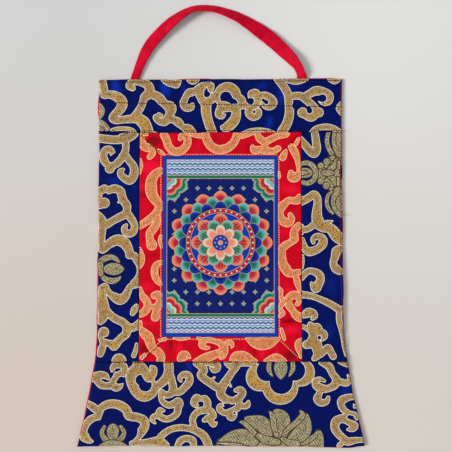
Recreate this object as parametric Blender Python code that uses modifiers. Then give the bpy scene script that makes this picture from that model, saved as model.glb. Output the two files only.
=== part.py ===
"""A small brocade-mounted scroll hanging, lying face up with its strap laid in an arch above it.

The picture is framed by four mitred red strips, then by blue bands that flare out below. All of
them are sewn to one red backing cloth, which lies on the plane Z = 0. X runs across the hanging,
Y up its length and Z out of its face. The origin is under the middle of its box.
"""

import math
from collections import namedtuple

import bmesh
import bpy
from mathutils import Matrix, Vector

# What the maker cuts, in metres
PICTURE_WIDTH = 0.115
PICTURE_LENGTH = 0.1805
BORDER_WIDTH = 0.0235
BORDER_FOOT_WIDTH = 0.0245
SIDE_BAND_WIDTH = 0.0408
TOP_BAND_LENGTH = 0.054
BOTTOM_BAND_LENGTH = 0.0825

# Cloth thicknesses, with the turned-in edges pressed into them
LINING_THICK = 0.0010
BAND_THICK = 0.0017
BORDER_THICK = 0.0015
PICTURE_THICK = 0.0012
GAP = 0.0003
EDGE_ROUND = 0.0004

# Distances across, from the middle, and down, from the top edge
HALF_PICTURE = PICTURE_WIDTH / 2
HALF_BORDER = HALF_PICTURE + BORDER_WIDTH
HALF_BODY = HALF_BORDER + SIDE_BAND_WIDTH
PICTURE_HEAD = TOP_BAND_LENGTH + BORDER_WIDTH
PICTURE_FOOT = PICTURE_HEAD + PICTURE_LENGTH
BORDER_FOOT = PICTURE_FOOT + BORDER_FOOT_WIDTH
BODY_LENGTH = BORDER_FOOT + BOTTOM_BAND_LENGTH
PANEL_BASE = LINING_THICK + GAP

# The flared sides of the lower band: how far each goes out, and how sharply it curves
Flare = namedtuple("Flare", "out power")
FLARE_START = 0.255
LEFT_FLARE = Flare(out=0.0190, power=1.5)
RIGHT_FLARE = Flare(out=0.0202, power=1.2)

# The backing cloth is cut a little wide, and shows past the front on the left and at the top
LINING_PAST_LEFT = 0.0016
LINING_PAST_RIGHT = 0.0005
LINING_PAST_TOP = 0.0006

# The top band was sewn on slightly aslant: its rise for each metre across
TOP_SLANT = 0.005
SLANT_FADES_FROM = 0.040

# Where the cloth doesn't lie quite flat: a place across and down, how wide it is and how high
Lift = namedtuple("Lift", "across down reach height")
LIFTS = (
    Lift(across=-0.141, down=0.365, reach=0.060, height=0.0020),
    Lift(across=0.142, down=0.365, reach=0.050, height=0.0012),
    Lift(across=0.122, down=0.215, reach=0.055, height=0.0010),
    Lift(across=-0.122, down=0.110, reach=0.050, height=0.0008),
)

# The strap is a soft folded tube. Its rows run from the left end in the seam to the right one.
# Tilt is positive where the edge inside the arch stands up, and sewn is 1 within the seam.
Station = namedtuple("Station", "across rise width tilt sewn")
STRAP_ROWS = (
    Station(-0.0888, -0.0080, 0.0085, 0, 1.0),
    Station(-0.0858, 0.0010, 0.0085, 0, 1.0),
    Station(-0.0840, 0.0080, 0.0085, 4, 0.3),
    Station(-0.0816, 0.0164, 0.0086, 6, 0.0),
    Station(-0.0741, 0.0309, 0.0092, 10, 0.0),
    Station(-0.0691, 0.0376, 0.0100, 14, 0.0),
    Station(-0.0600, 0.0482, 0.0110, 18, 0.0),
    Station(-0.0480, 0.0586, 0.0110, 36, 0.0),
    Station(-0.0373, 0.0665, 0.0108, 52, 0.0),
    Station(-0.0267, 0.0714, 0.0102, 64, 0.0),
    Station(-0.0152, 0.0719, 0.0100, 64, 0.0),
    Station(-0.0056, 0.0709, 0.0102, 57, 0.0),
    Station(0.0045, 0.0682, 0.0104, 56, 0.0),
    Station(0.0193, 0.0619, 0.0106, 44, 0.0),
    Station(0.0335, 0.0546, 0.0114, 26, 0.0),
    Station(0.0444, 0.0463, 0.0124, 8, 0.0),
    Station(0.0555, 0.0375, 0.0126, -6, 0.0),
    Station(0.0652, 0.0288, 0.0122, -10, 0.0),
    Station(0.0733, 0.0198, 0.0112, -32, 0.0),
    Station(0.0784, 0.0129, 0.0098, -44, 0.0),
    Station(0.0810, 0.0067, 0.0086, -34, 0.5),
    Station(0.0822, 0.0010, 0.0094, 0, 1.0),
    Station(0.0832, -0.0080, 0.0094, 0, 1.0),
)
STRAP_THICK = 0.0024
STRAP_SEWN_THICK = 0.0007
STRAP_STEPS = 2
STRAP_SIDES = 10
STRAP_FULLNESS = 0.7

# The hollow under the head band's edge that takes an end of the strap, as long as from there to
# well past the edge
POCKET_LENGTH = 0.0150

# About how long and wide each facet of a sheet is
CELL = 0.0135

# Where the strap's highest edge comes, over the top edge: it sets the middle of the whole box
STRAP_REACH = 0.0747
TOP_EDGE_Y = (BODY_LENGTH - STRAP_REACH) / 2


def clear_scene():
    for old in list(bpy.data.objects):
        bpy.data.objects.remove(old, do_unlink=True)


def new_collection(name):
    made = bpy.data.collections.new(name)
    bpy.context.scene.collection.children.link(made)
    return made


def cloth_material(name, colour, roughness):
    made = bpy.data.materials.new(name)
    made.use_nodes = True
    shader = made.node_tree.nodes["Principled BSDF"]
    shader.inputs["Base Color"].default_value = (*colour, 1.0)
    shader.inputs["Roughness"].default_value = roughness
    shader.inputs["Metallic"].default_value = 0.0
    return made


def smooth(share):
    """Goes from 0 to 1 with level ends."""
    share = min(1.0, max(0.0, share))
    return share * share * (3 - 2 * share)


def blend(low, high, share):
    return low + (high - low) * share


def flare_out(across, down):
    """How far the cloth has moved out at this place, because the sides flare below."""
    flare = LEFT_FLARE if across < 0 else RIGHT_FLARE
    share = max(0.0, (down - FLARE_START) / (BODY_LENGTH - FLARE_START))
    at_edge = smooth((abs(across) - HALF_BORDER) / (HALF_BODY - HALF_BORDER))
    return math.copysign(flare.out * share**flare.power * at_edge, across)


def lift_at(across, down):
    """How high the cloth stands off the plane that it lies on."""
    height = 0.0
    for lift in LIFTS:
        away = math.hypot(across - lift.across, down - lift.down) / lift.reach
        if away < 1:
            height += lift.height * (1 - away * away) ** 2
    return height


def cloth_point(across, down, base):
    """The place in the model of a point of the cut cloth."""
    across += flare_out(across, down)
    fade = 1 - smooth((down - SLANT_FADES_FROM) / (PICTURE_HEAD - SLANT_FADES_FROM))
    return Vector((across, TOP_SLANT * across * fade - down, base + lift_at(across, down)))


def inset(corners, distance):
    """A convex outline, given anticlockwise, with each side moved in."""
    sides = []
    for start, end in zip(corners, corners[1:] + corners[:1]):
        along = (Vector(end) - Vector(start)).normalized()
        inward = Vector((-along.y, along.x))
        sides.append((Vector(start) + inward * distance, along))
    made = []
    for (place, along), (other, other_along) in zip(sides[-1:] + sides[:-1], sides):
        reach = (other - place).cross(other_along) / along.cross(other_along)
        made.append(place + along * reach)
    return made


def cloth_sheet(name, corners, thick, base, material, collection, hanger):
    """A sheet cut to four corners, across and down, anticlockwise as seen from the front."""
    foot_left, foot_right, head_right, head_left = (Vector(c) for c in corners)
    columns = max(2, round((head_right - head_left).length / CELL))
    rows = max(2, round((head_left - foot_left).length / CELL))
    grid = bmesh.new()
    bmesh.ops.create_grid(grid, x_segments=columns, y_segments=rows, size=0.5)
    for vertex in grid.verts:
        u, v = vertex.co.x + 0.5, vertex.co.y + 0.5
        place = foot_left.lerp(foot_right, u).lerp(head_left.lerp(head_right, u), v)
        vertex.co = cloth_point(place.x, -place.y, base)
    mesh = bpy.data.meshes.new(name)
    grid.to_mesh(mesh)
    grid.free()
    sheet = bpy.data.objects.new(name, mesh)
    collection.objects.link(sheet)
    sheet.parent = hanger
    mesh.materials.append(material)
    body = sheet.modifiers.new("thickness", "SOLIDIFY")
    body.thickness = thick
    body.offset = 1.0
    rounding = sheet.modifiers.new("turned edge", "BEVEL")
    rounding.width = EDGE_ROUND
    rounding.segments = 1
    rounding.limit_method = "ANGLE"
    rounding.angle_limit = math.radians(50)
    return sheet


def panel(name, corners, thick, material, collection, hanger):
    """A front panel: its corners are the seams' lines, and half of the gap is left at each."""
    upward = [(across, -down) for across, down in corners]
    cut = inset(upward, GAP / 2)
    return cloth_sheet(name, cut, thick, PANEL_BASE, material, collection, hanger)


def rectangle(left, right, head, foot):
    return [(left, foot), (right, foot), (right, head), (left, head)]


def make_lining(material, collection, hanger):
    """The backing cloth: its outline is the front's, with a little more where it shows."""
    left = -HALF_BODY - LINING_PAST_LEFT
    right = HALF_BODY + LINING_PAST_RIGHT
    corners = rectangle(left, right, LINING_PAST_TOP, -BODY_LENGTH)
    return cloth_sheet("lining", corners, LINING_THICK, 0.0, material, collection, hanger)


def make_picture(material, collection, hanger):
    corners = rectangle(-HALF_PICTURE, HALF_PICTURE, PICTURE_HEAD, PICTURE_FOOT)
    return panel("picture", corners, PICTURE_THICK, material, collection, hanger)


def make_border(material, collection, hanger):
    """Four red strips, cut at the corners so that they meet in a mitre."""
    inner = rectangle(-HALF_PICTURE, HALF_PICTURE, PICTURE_HEAD, PICTURE_FOOT)
    outer = rectangle(-HALF_BORDER, HALF_BORDER, TOP_BAND_LENGTH, BORDER_FOOT)
    foot_left, foot_right, head_right, head_left = range(4)
    strips = {
        "border_foot": [outer[foot_left], outer[foot_right], inner[foot_right], inner[foot_left]],
        "border_right": [inner[foot_right], outer[foot_right], outer[head_right], inner[head_right]],
        "border_head": [inner[head_left], inner[head_right], outer[head_right], outer[head_left]],
        "border_left": [outer[foot_left], inner[foot_left], inner[head_left], outer[head_left]],
    }
    for name, corners in strips.items():
        panel(name, corners, BORDER_THICK, material, collection, hanger)


def make_bands(material, collection, hanger):
    """The blue bands. The head and the foot band run right across, over the ends of the side ones."""
    sides = {
        "left_band": rectangle(-HALF_BODY, -HALF_BORDER, TOP_BAND_LENGTH, BORDER_FOOT),
        "right_band": rectangle(HALF_BORDER, HALF_BODY, TOP_BAND_LENGTH, BORDER_FOOT),
        "foot_band": rectangle(-HALF_BODY, HALF_BODY, BORDER_FOOT, BODY_LENGTH),
    }
    for name, corners in sides.items():
        panel(name, corners, BAND_THICK, material, collection, hanger)
    corners = rectangle(-HALF_BODY, HALF_BODY, 0.0, TOP_BAND_LENGTH)
    return panel("head_band", corners, BAND_THICK, material, collection, hanger)


def between(before, start, end, after, share):
    """A place on the smooth curve that runs through start and end."""
    return 0.5 * (
        2 * start
        + (end - before) * share
        + (2 * before - 5 * start + 4 * end - after) * share**2
        + (3 * start - before - 3 * end + after) * share**3
    )


def strap_sections():
    """Place, width, tilt in radians, thickness and sewn share of the strap, step by step."""
    rows = (STRAP_ROWS[0],) + STRAP_ROWS + (STRAP_ROWS[-1],)
    sections = []
    for before, start, end, after in zip(rows, rows[1:], rows[2:], rows[3:]):
        last = end is STRAP_ROWS[-1]
        for step in range(STRAP_STEPS + last):
            share = step / STRAP_STEPS
            across = between(before.across, start.across, end.across, after.across, share)
            rise = between(before.rise, start.rise, end.rise, after.rise, share)
            eased = smooth(share)
            width = blend(start.width, end.width, eased)
            tilt = math.radians(blend(start.tilt, end.tilt, eased))
            sewn = blend(start.sewn, end.sewn, eased)
            thick = blend(STRAP_THICK, STRAP_SEWN_THICK, sewn)
            sections.append((Vector((across, rise, 0)), width, tilt, thick, sewn))
    return sections


def strap_ring(place, along, width, tilt, thick, sewn):
    """The points round a flattened tube that stands on the plane, or within the seam on the lining."""
    inward = Vector((along.y, -along.x, 0)).normalized()
    flat_way = inward * math.cos(tilt) + Vector((0, 0, 1)) * math.sin(tilt)
    thick_way = flat_way.cross(along).normalized()
    ring = []
    for side in range(STRAP_SIDES):
        turn = 2 * math.pi * (side + 0.5) / STRAP_SIDES
        flat = math.copysign(abs(math.cos(turn)) ** STRAP_FULLNESS, math.cos(turn))
        proud = math.copysign(abs(math.sin(turn)) ** STRAP_FULLNESS, math.sin(turn))
        ring.append(place + flat_way * (flat * width / 2) + thick_way * (proud * thick / 2))
    lowest = min(point.z for point in ring)
    for point in ring:
        point.z += PANEL_BASE * sewn - lowest
    return ring


def make_strap(material, collection, hanger):
    """A loft through the strap's sections, which differ in width, thickness and tilt."""
    sections = strap_sections()
    tube = bmesh.new()
    rings = []
    for number, (place, *shape) in enumerate(sections):
        ahead = sections[min(number + 1, len(sections) - 1)][0]
        behind = sections[max(number - 1, 0)][0]
        points = strap_ring(place, (ahead - behind).normalized(), *shape)
        rings.append([tube.verts.new(point) for point in points])
    for ring, following in zip(rings, rings[1:]):
        for side in range(STRAP_SIDES):
            beside = (side + 1) % STRAP_SIDES
            tube.faces.new((ring[side], ring[beside], following[beside], following[side]))
    tube.faces.new(reversed(rings[0]))
    tube.faces.new(rings[-1])
    bmesh.ops.recalc_face_normals(tube, faces=tube.faces)
    mesh = bpy.data.meshes.new("hanging_strap")
    tube.to_mesh(mesh)
    tube.free()
    mesh.shade_smooth()
    mesh.materials.append(material)
    strap = bpy.data.objects.new("hanging_strap", mesh)
    collection.objects.link(strap)
    strap.parent = hanger


def cut_pocket(band, seam_row, outer_row, collection, hanger):
    """Hollows the underside of the head band where an end of the strap is sewn in."""
    inside = Vector((seam_row.across, seam_row.rise))
    along = (Vector((outer_row.across, outer_row.rise)) - inside).normalized()
    middle = inside + along * (POCKET_LENGTH / 2 - GAP)
    ceiling = PANEL_BASE + STRAP_SEWN_THICK + GAP
    bpy.ops.mesh.primitive_cube_add(size=1)
    cutter = bpy.context.object
    cutter.name = "pocket_cutter"
    cutter.data.transform(Matrix.Diagonal((seam_row.width + 2 * GAP, POCKET_LENGTH, ceiling, 1)))
    cutter.location = (middle.x, middle.y, ceiling / 2)
    cutter.rotation_euler.z = math.atan2(along.y, along.x) - math.pi / 2
    cutter.parent = hanger
    cutter.hide_render = True
    cutter.display_type = "WIRE"
    for holder in list(cutter.users_collection):
        holder.objects.unlink(cutter)
    collection.objects.link(cutter)
    cut = band.modifiers.new("pocket", "BOOLEAN")
    cut.object = cutter
    cut.operation = "DIFFERENCE"


def main():
    clear_scene()
    parts = new_collection("thangka hanging")
    cutters = new_collection("cutters")
    hanger = bpy.data.objects.new("hanging", None)
    hanger.location = (0, TOP_EDGE_Y, 0)
    parts.objects.link(hanger)

    blue_brocade = cloth_material("blue brocade", (0.006, 0.017, 0.135), 0.45)
    red_brocade = cloth_material("red brocade", (0.60, 0.005, 0.018), 0.42)
    printed_cloth = cloth_material("printed cloth", (0.25, 0.16, 0.20), 0.6)
    red_lining = cloth_material("red lining", (0.55, 0.02, 0.035), 0.7)
    strap_cloth = cloth_material("strap cloth", (0.50, 0.002, 0.025), 0.55)

    make_lining(red_lining, parts, hanger)
    make_picture(printed_cloth, parts, hanger)
    make_border(red_brocade, parts, hanger)
    head_band = make_bands(blue_brocade, parts, hanger)
    make_strap(strap_cloth, parts, hanger)
    cut_pocket(head_band, STRAP_ROWS[0], STRAP_ROWS[1], cutters, hanger)
    cut_pocket(head_band, STRAP_ROWS[-1], STRAP_ROWS[-2], cutters, hanger)


main()
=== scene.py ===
import math

import bmesh
import bpy
import numpy as np
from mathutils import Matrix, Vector
from mathutils.bvhtree import BVHTree


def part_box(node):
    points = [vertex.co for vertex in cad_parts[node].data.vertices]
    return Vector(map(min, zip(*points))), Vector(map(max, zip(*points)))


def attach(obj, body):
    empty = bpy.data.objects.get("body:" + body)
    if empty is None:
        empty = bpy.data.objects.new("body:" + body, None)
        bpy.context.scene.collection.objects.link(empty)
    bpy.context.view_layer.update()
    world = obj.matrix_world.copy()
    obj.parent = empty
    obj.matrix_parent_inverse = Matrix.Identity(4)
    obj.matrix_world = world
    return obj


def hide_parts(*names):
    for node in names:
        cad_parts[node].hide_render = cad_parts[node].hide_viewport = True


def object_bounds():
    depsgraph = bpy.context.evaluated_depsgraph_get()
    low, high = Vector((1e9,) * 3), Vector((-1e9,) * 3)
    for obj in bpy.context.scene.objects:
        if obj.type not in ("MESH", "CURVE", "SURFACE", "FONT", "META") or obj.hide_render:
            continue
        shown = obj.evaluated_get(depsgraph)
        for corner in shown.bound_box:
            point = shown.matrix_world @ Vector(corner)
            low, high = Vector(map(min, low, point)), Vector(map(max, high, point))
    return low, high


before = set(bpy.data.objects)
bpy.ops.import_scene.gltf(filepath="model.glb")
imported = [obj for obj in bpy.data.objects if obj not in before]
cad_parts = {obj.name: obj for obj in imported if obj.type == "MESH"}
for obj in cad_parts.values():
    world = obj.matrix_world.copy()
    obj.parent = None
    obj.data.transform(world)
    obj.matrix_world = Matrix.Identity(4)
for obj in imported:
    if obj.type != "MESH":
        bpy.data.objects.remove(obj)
cad_low, cad_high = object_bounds()

# The backing cloth is one piece of plain red cotton as large as the whole hanging. The front panels
# are sewn to it face up, and it shows past them as a bright rim down the left side and the flare.
# It lies flat on the table, apart from where a corner or an edge lifts a little.
BODY_LENGTH = 0.365
HALF_BODY = 0.1218
HALF_BORDER = 0.081
TOP_EDGE = cad_low.y + BODY_LENGTH

FLARE_START = 0.255
LEFT_FLARE, LEFT_FLARE_POWER = 0.0190, 1.5
RIGHT_FLARE, RIGHT_FLARE_POWER = 0.0202, 1.2

TOP_SLANT = 0.005
SLANT_FADES_FROM, SLANT_FADES_TO = 0.040, 0.0775

# Across and down to the middle of each lifted place, its reach and its height
LIFTS = (
    (-0.141, 0.365, 0.060, 0.0020),
    (0.142, 0.365, 0.050, 0.0012),
    (0.122, 0.215, 0.055, 0.0010),
    (-0.122, 0.110, 0.050, 0.0008),
)

LINING_THICK = 0.0010
LINING_PAST_RIGHT = 0.0004
LINING_CELL = 0.0022

# A sheet's first places in from an edge, and how thick it still is at a turned edge
NEAR_EDGE = np.array([0.0, 0.0003, 0.0007, 0.0012])
EDGE_SHARE = 0.4

# Where the backing shows past the panels: from, to and how far, in metres down or across
LINING_SHOWS_LEFT = ((0.013, 0.040, 0.0012), (0.176, 0.356, 0.0008))
LINING_SHOWS_HEAD = ((-0.046, -0.008, 0.0006), (0.086, 0.117, 0.0006))
LINING_SHOWS_FOOT = ((0.020, 0.118, 0.0005),)
SHOWING_FADES = 0.006
LEAST_SHOWING = 0.0002
HEM_ROUND = 0.0006

# The edges aren't cut quite straight: how far they wander, and how fast the waves turn, per metre
EDGE_WANDER = 0.00022
SIDE_WAVES, SIDE_WAVE_DRIFT = (93, 211), 9
END_WAVES = (74, 187)

# The foot edge hangs lower towards the right corner: how much, from and up to where it grows, where
# it ends, over what length, and how far down the cloth it starts
FOOT_SAG = 0.0013
SAG_FROM, SAG_FULL, SAG_END, SAG_FADES = 0.030, 0.130, 0.141, 0.016
SAG_STARTS_DOWN = 0.300


def smooth(share):
    """Goes from 0 to 1 with level ends."""
    share = np.clip(share, 0.0, 1.0)
    return share * share * (3 - 2 * share)


def flare_out(across, down):
    """How far the cloth has moved out at this place, because the sides flare below."""
    share = np.clip((down - FLARE_START) / (BODY_LENGTH - FLARE_START), 0.0, None)
    left = LEFT_FLARE * share**LEFT_FLARE_POWER
    right = RIGHT_FLARE * share**RIGHT_FLARE_POWER
    at_edge = smooth((np.abs(across) - HALF_BORDER) / (HALF_BODY - HALF_BORDER))
    return np.where(across < 0, -left, right) * at_edge


def lift_at(across, down):
    """How high the cloth stands off the table."""
    height = np.zeros_like(across)
    for middle, below, reach, most in LIFTS:
        away = np.hypot(across - middle, down - below) / reach
        height += most * np.clip(1 - away * away, 0.0, None) ** 2
    return height


def lay(across, down):
    """Where a place of the cut cloth, across from its middle and down from its top edge, comes."""
    lift = lift_at(across, down)
    across = across + flare_out(across, down)
    fade = 1 - smooth((down - SLANT_FADES_FROM) / (SLANT_FADES_TO - SLANT_FADES_FROM))
    outer = smooth((np.abs(across) - HALF_BORDER) / (HALF_BODY - HALF_BORDER))
    long_wave, short_wave = SIDE_WAVES
    wander = np.sin(down * long_wave + 1.0)
    wander = wander + 0.6 * np.sin(down * short_wave + across * SIDE_WAVE_DRIFT)
    long_wave, short_wave = END_WAVES
    y = TOP_EDGE + TOP_SLANT * across * fade - down
    y += EDGE_WANDER * (np.sin(across * long_wave + 2.0) + 0.5 * np.sin(across * short_wave))
    grown = smooth((across - SAG_FROM) / (SAG_FULL - SAG_FROM))
    grown = grown * smooth((SAG_END - across) / SAG_FADES)
    sagging = np.clip((down - SAG_STARTS_DOWN) / (BODY_LENGTH - SAG_STARTS_DOWN), 0.0, None)
    y -= FOOT_SAG * grown * sagging**2
    return across + EDGE_WANDER * wander * outer, y, lift


def spaced(length, cell):
    """Places from 0 to length about a cell apart, and closer together near both edges."""
    count = max(2, round((length - 2 * NEAR_EDGE[-1]) / cell))
    inner = np.linspace(NEAR_EDGE[-1], length - NEAR_EDGE[-1], count + 1)
    return np.concatenate([NEAR_EDGE[:-1], inner, length - NEAR_EDGE[-2::-1]])


def closed_sheet(name, x, y, top, bottom):
    """A piece of cloth from a grid of places: its face, its back, and the edge all round."""
    number = np.arange(x.size).reshape(x.shape)
    face = np.stack([x, y, top], -1).reshape(-1, 3)
    back = np.stack([x, y, bottom], -1).reshape(-1, 3)
    quads = np.stack([number[:-1, :-1], number[:-1, 1:], number[1:, 1:], number[1:, :-1]], -1)
    quads = quads.reshape(-1, 4)
    rim = np.concatenate([number[0, :-1], number[:-1, -1], number[-1, :0:-1], number[:0:-1, 0]])
    following = np.roll(rim, -1)
    sides = np.stack([rim + x.size, following + x.size, following, rim], -1)
    faces = np.concatenate([quads, quads[:, ::-1] + x.size, sides])
    mesh = bpy.data.meshes.new(name)
    mesh.from_pydata(np.concatenate([face, back]).tolist(), [], faces.tolist())
    mesh.shade_smooth()
    sheet = bpy.data.objects.new(name, mesh)
    bpy.context.scene.collection.objects.link(sheet)
    return sheet


def rounding(from_edge, radius):
    """The share of the full thickness that the cloth has at this distance from a turned edge."""
    share = 1 - np.clip(from_edge / radius, 0.0, 1.0)
    return EDGE_SHARE + (1 - EDGE_SHARE) * np.sqrt(1 - share * share)


def showing(place, stretches):
    """How far the backing reaches past the panels at this place along an edge."""
    past = np.full_like(place, LEAST_SHOWING)
    for start, end, most in stretches:
        grown = most * smooth((place - start) / SHOWING_FADES)
        past += grown * smooth((end - place) / SHOWING_FADES)
    return past


class Wire:
    """An output of one of a material's nodes. Sums with it add the nodes that work them out."""

    def __init__(self, tree, socket):
        self.tree = tree
        self.socket = socket

    def reckon(self, operation, *values, first=None):
        """Another sum, by the name of a Math node's operation."""
        made = self.tree.nodes.new("ShaderNodeMath")
        made.operation = operation
        start = self if first is None else first
        for entry, value in zip(made.inputs, (start, *values)):
            connect(self.tree, entry, value)
        return Wire(self.tree, made.outputs[0])

    def other(self, name):
        """Another output of the same node."""
        return Wire(self.tree, self.socket.node.outputs[name])

    def __add__(self, value):
        return self.reckon("ADD", value)

    def __sub__(self, value):
        return self.reckon("SUBTRACT", value)

    def __rsub__(self, value):
        return self.reckon("SUBTRACT", self, first=value)

    def __mul__(self, value):
        return self.reckon("MULTIPLY", value)

    def __truediv__(self, value):
        return self.reckon("DIVIDE", value)

    def __rtruediv__(self, value):
        return self.reckon("DIVIDE", self, first=value)

    def __pow__(self, value):
        return self.reckon("POWER", value)

    __radd__ = __add__
    __rmul__ = __mul__


def connect(tree, entry, value):
    """Feeds a node's input from a wire, or sets it to a plain value."""
    if isinstance(value, Wire):
        tree.links.new(value.socket, entry)
    else:
        entry.default_value = value


def tint(red, green, blue):
    """A colour as it is seen, in steps of 255, as the light that the shader works with."""
    parts = [value / 255 for value in (red, green, blue)]
    return (*[p / 12.92 if p < 0.04045 else ((p + 0.055) / 1.055) ** 2.4 for p in parts], 1.0)


class Finish:
    """A cloth's material: its nodes, and the one shader that they feed."""

    def __init__(self, name, **constants):
        self.material = bpy.data.materials.new(name)
        self.material.use_nodes = True
        self.tree = self.material.node_tree
        self.shader = self.tree.nodes["Principled BSDF"]
        for socket, value in constants.items():
            self.shader.inputs[socket.replace("_", " ")].default_value = value

    def node(self, kind, settings=None, sockets=None, output=0):
        made = self.tree.nodes.new(kind)
        for name, value in (settings or {}).items():
            setattr(made, name, value)
        for name, value in (sockets or {}).items():
            connect(self.tree, made.inputs[name], value)
        return Wire(self.tree, made.outputs[output])

    def in_mm(self, across=0.0, up=0.0):
        """The place on the object in millimetres, from a point that is given in metres."""
        place = self.node("ShaderNodeTexCoord", output="Object")
        return self.node(
            "ShaderNodeMapping",
            sockets={
                "Vector": place,
                "Location": (-across * 1000, -up * 1000, 0),
                "Scale": (1000, 1000, 1000),
            },
        )

    def grain(self, place, size, detail=2.0, stretch=(1, 1, 1)):
        """Cloudy noise from 0 to 1, with blots of about the size given in millimetres."""
        scaled = self.node(
            "ShaderNodeVectorMath",
            {"operation": "MULTIPLY"},
            {0: place, 1: tuple(part / size for part in stretch)},
        )
        return self.node(
            "ShaderNodeTexNoise", sockets={"Vector": scaled, "Detail": detail, "Scale": 1.0}
        )

    def rise(self, value, low, high):
        """0 below low, 1 above high, and a soft step between."""
        return self.node(
            "ShaderNodeMapRange",
            {"interpolation_type": "SMOOTHSTEP"},
            {"Value": value, "From Min": low, "From Max": high},
        )

    def blend(self, share, below, above):
        """One colour over another, by a share from 0 to 1."""
        return self.node(
            "ShaderNodeMix", {"data_type": "RGBA"}, {0: share, 6: below, 7: above}, output=2
        )

    def weave(self, place, pitch):
        """The height of a plain weave, from 0 to 1, with threads a pitch apart both ways."""
        parts = self.node("ShaderNodeSeparateXYZ", sockets={"Vector": place})
        turn = 2 * math.pi / pitch
        warp = (parts * turn).reckon("SINE")
        weft = (parts.other("Y") * turn).reckon("SINE")
        return warp * weft * 0.5 + 0.5

    def end(self, colour, roughness, height, bump):
        """The finished material, whose relief is as high in metres as bump says."""
        self.tree.links.new(colour.socket, self.shader.inputs["Base Color"])
        connect(self.tree, self.shader.inputs["Roughness"], roughness)
        raised = self.node("ShaderNodeBump", sockets={"Height": height, "Distance": bump})
        self.tree.links.new(raised.socket, self.shader.inputs["Normal"])
        return self.material


DULL_CLOTH = 0.06
LINING_BLOT, LINING_THREAD, LINING_WEAVE = 14.0, 0.5, 0.7
LINING_RELIEF = 0.00006

lining_cotton = Finish("lining_cotton", Specular_IOR_Level=DULL_CLOTH)
place = lining_cotton.in_mm()
blots = lining_cotton.grain(place, LINING_BLOT)
threads = lining_cotton.grain(place, LINING_THREAD, 0.0, (0.3, 1.6, 1))
colour = lining_cotton.blend(blots, tint(184, 10, 36), tint(214, 34, 60))
colour = lining_cotton.blend(threads * 0.3, colour, tint(150, 8, 26))
weave = lining_cotton.weave(place, LINING_WEAVE) + threads * 0.5
lining_red = lining_cotton.end(colour, 0.72 + threads * 0.12, weave, LINING_RELIEF)

lining_width = 2 * HALF_BODY + LINING_PAST_RIGHT + LINING_SHOWS_LEFT[0][2]
lining_length = BODY_LENGTH + LINING_SHOWS_HEAD[0][2]
columns = spaced(lining_width, LINING_CELL)
rows = spaced(lining_length, LINING_CELL)
across, down = np.meshgrid(columns / lining_width, 1 - rows / lining_length)
right_side = HALF_BODY + LINING_PAST_RIGHT
left_side = -HALF_BODY - showing(down * BODY_LENGTH, LINING_SHOWS_LEFT)
across = left_side + across * (right_side - left_side)
head_side = -showing(across, LINING_SHOWS_HEAD)
foot_side = BODY_LENGTH - LEAST_SHOWING + showing(across, LINING_SHOWS_FOOT)
down = head_side + down * (foot_side - head_side)
from_edge = np.minimum(
    np.minimum(columns, lining_width - columns)[None, :],
    np.minimum(rows, lining_length - rows)[:, None],
)
x, y, lift = lay(across, down)
hem = rounding(from_edge, HEM_ROUND)
lining = closed_sheet(
    "backing_cloth",
    x,
    y,
    lift + LINING_THICK * (0.5 + 0.5 * hem),
    lift + LINING_THICK * 0.5 * (1 - hem),
)
lining.data.materials.append(lining_red)
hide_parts("lining")
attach(lining, "root")

# The picture is one piece of fine cotton with a printed design, here a lotus rosette between wave
# bands. The red border is sewn round its four sides, and it lies a little lower than the border.
# It is printed in flat colours with fine gold lines.
picture_low, picture_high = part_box("picture")
SEAM_HALF_GAP = 0.00015
HALF_PICTURE = picture_high.x + SEAM_HALF_GAP
PICTURE_HEAD = TOP_EDGE - picture_high.y - SEAM_HALF_GAP
PICTURE_FOOT = TOP_EDGE - picture_low.y + SEAM_HALF_GAP
PICTURE_MIDDLE = (picture_low.y + picture_high.y) / 2
PICTURE_THICK = 0.0012
PANEL_CELL = 0.0008
PANEL_GAP = 0.00002
PANEL_BASE = LINING_THICK + PANEL_GAP
TURNED_EDGE = 0.0013

# The gathers beside a seam are three waves: how long in metres, how high and how far turned. They
# fade within PUCKER_FADES. A slower swell runs over the whole panel, by how fast it turns per metre
# across and up.
PUCKER_WAVES = ((0.0027, 1.0, 1.0), (0.0043, 0.7, 2.3), (0.0015, 0.5, 4.1))
PUCKER_FADES = 0.007
SWELL_SHARE = 0.35
SWELL_WAVES = ((71, 38), (-25, 97))
SETTLES_WITHIN = 0.004

GOLD_LINE = tint(196, 160, 92)
NAVY = tint(6, 22, 96)
ULTRAMARINE = tint(6, 56, 168)
CORAL = tint(236, 132, 104)
CRIMSON = tint(174, 34, 55)
TEAL = tint(106, 179, 170)
DEEP_GREEN = tint(4, 108, 86)
PEARL = tint(214, 212, 208)


def seam_pucker(along, away, turn):
    """The small gathers, in metres, that the stitching pulls into the cloth beside a seam."""
    waves = sum(high * np.sin(along / long + part * turn) for long, high, part in PUCKER_WAVES)
    return waves * np.exp(-np.clip(away, 0, None) / PUCKER_FADES)


def panel_grid(corners):
    """The grid of a four-cornered panel, and each place's distances from its four sides."""
    foot_left, foot_right, head_right, head_left = (np.array(corner) for corner in corners)
    wide = np.linalg.norm(foot_right - foot_left), np.linalg.norm(head_right - head_left)
    high = np.linalg.norm(head_left - foot_left)
    u = spaced(max(wide), PANEL_CELL) / max(wide)
    v = spaced(high, PANEL_CELL) / high
    u, v = (part[..., None] for part in np.meshgrid(u, v))
    foot = foot_left + (foot_right - foot_left) * u
    head = head_left + (head_right - head_left) * u
    cut = foot + (head - foot) * v
    sides = []
    for start, end in zip(corners, (*corners[1:], corners[0])):
        start, end = np.array(start), np.array(end)
        along = (end - start) / np.linalg.norm(end - start)
        off = cut - start
        distance = np.abs(off[..., 0] * along[1] - off[..., 1] * along[0])
        sides.append((distance, off @ along))
    return cut[..., 0], cut[..., 1], sides


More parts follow.
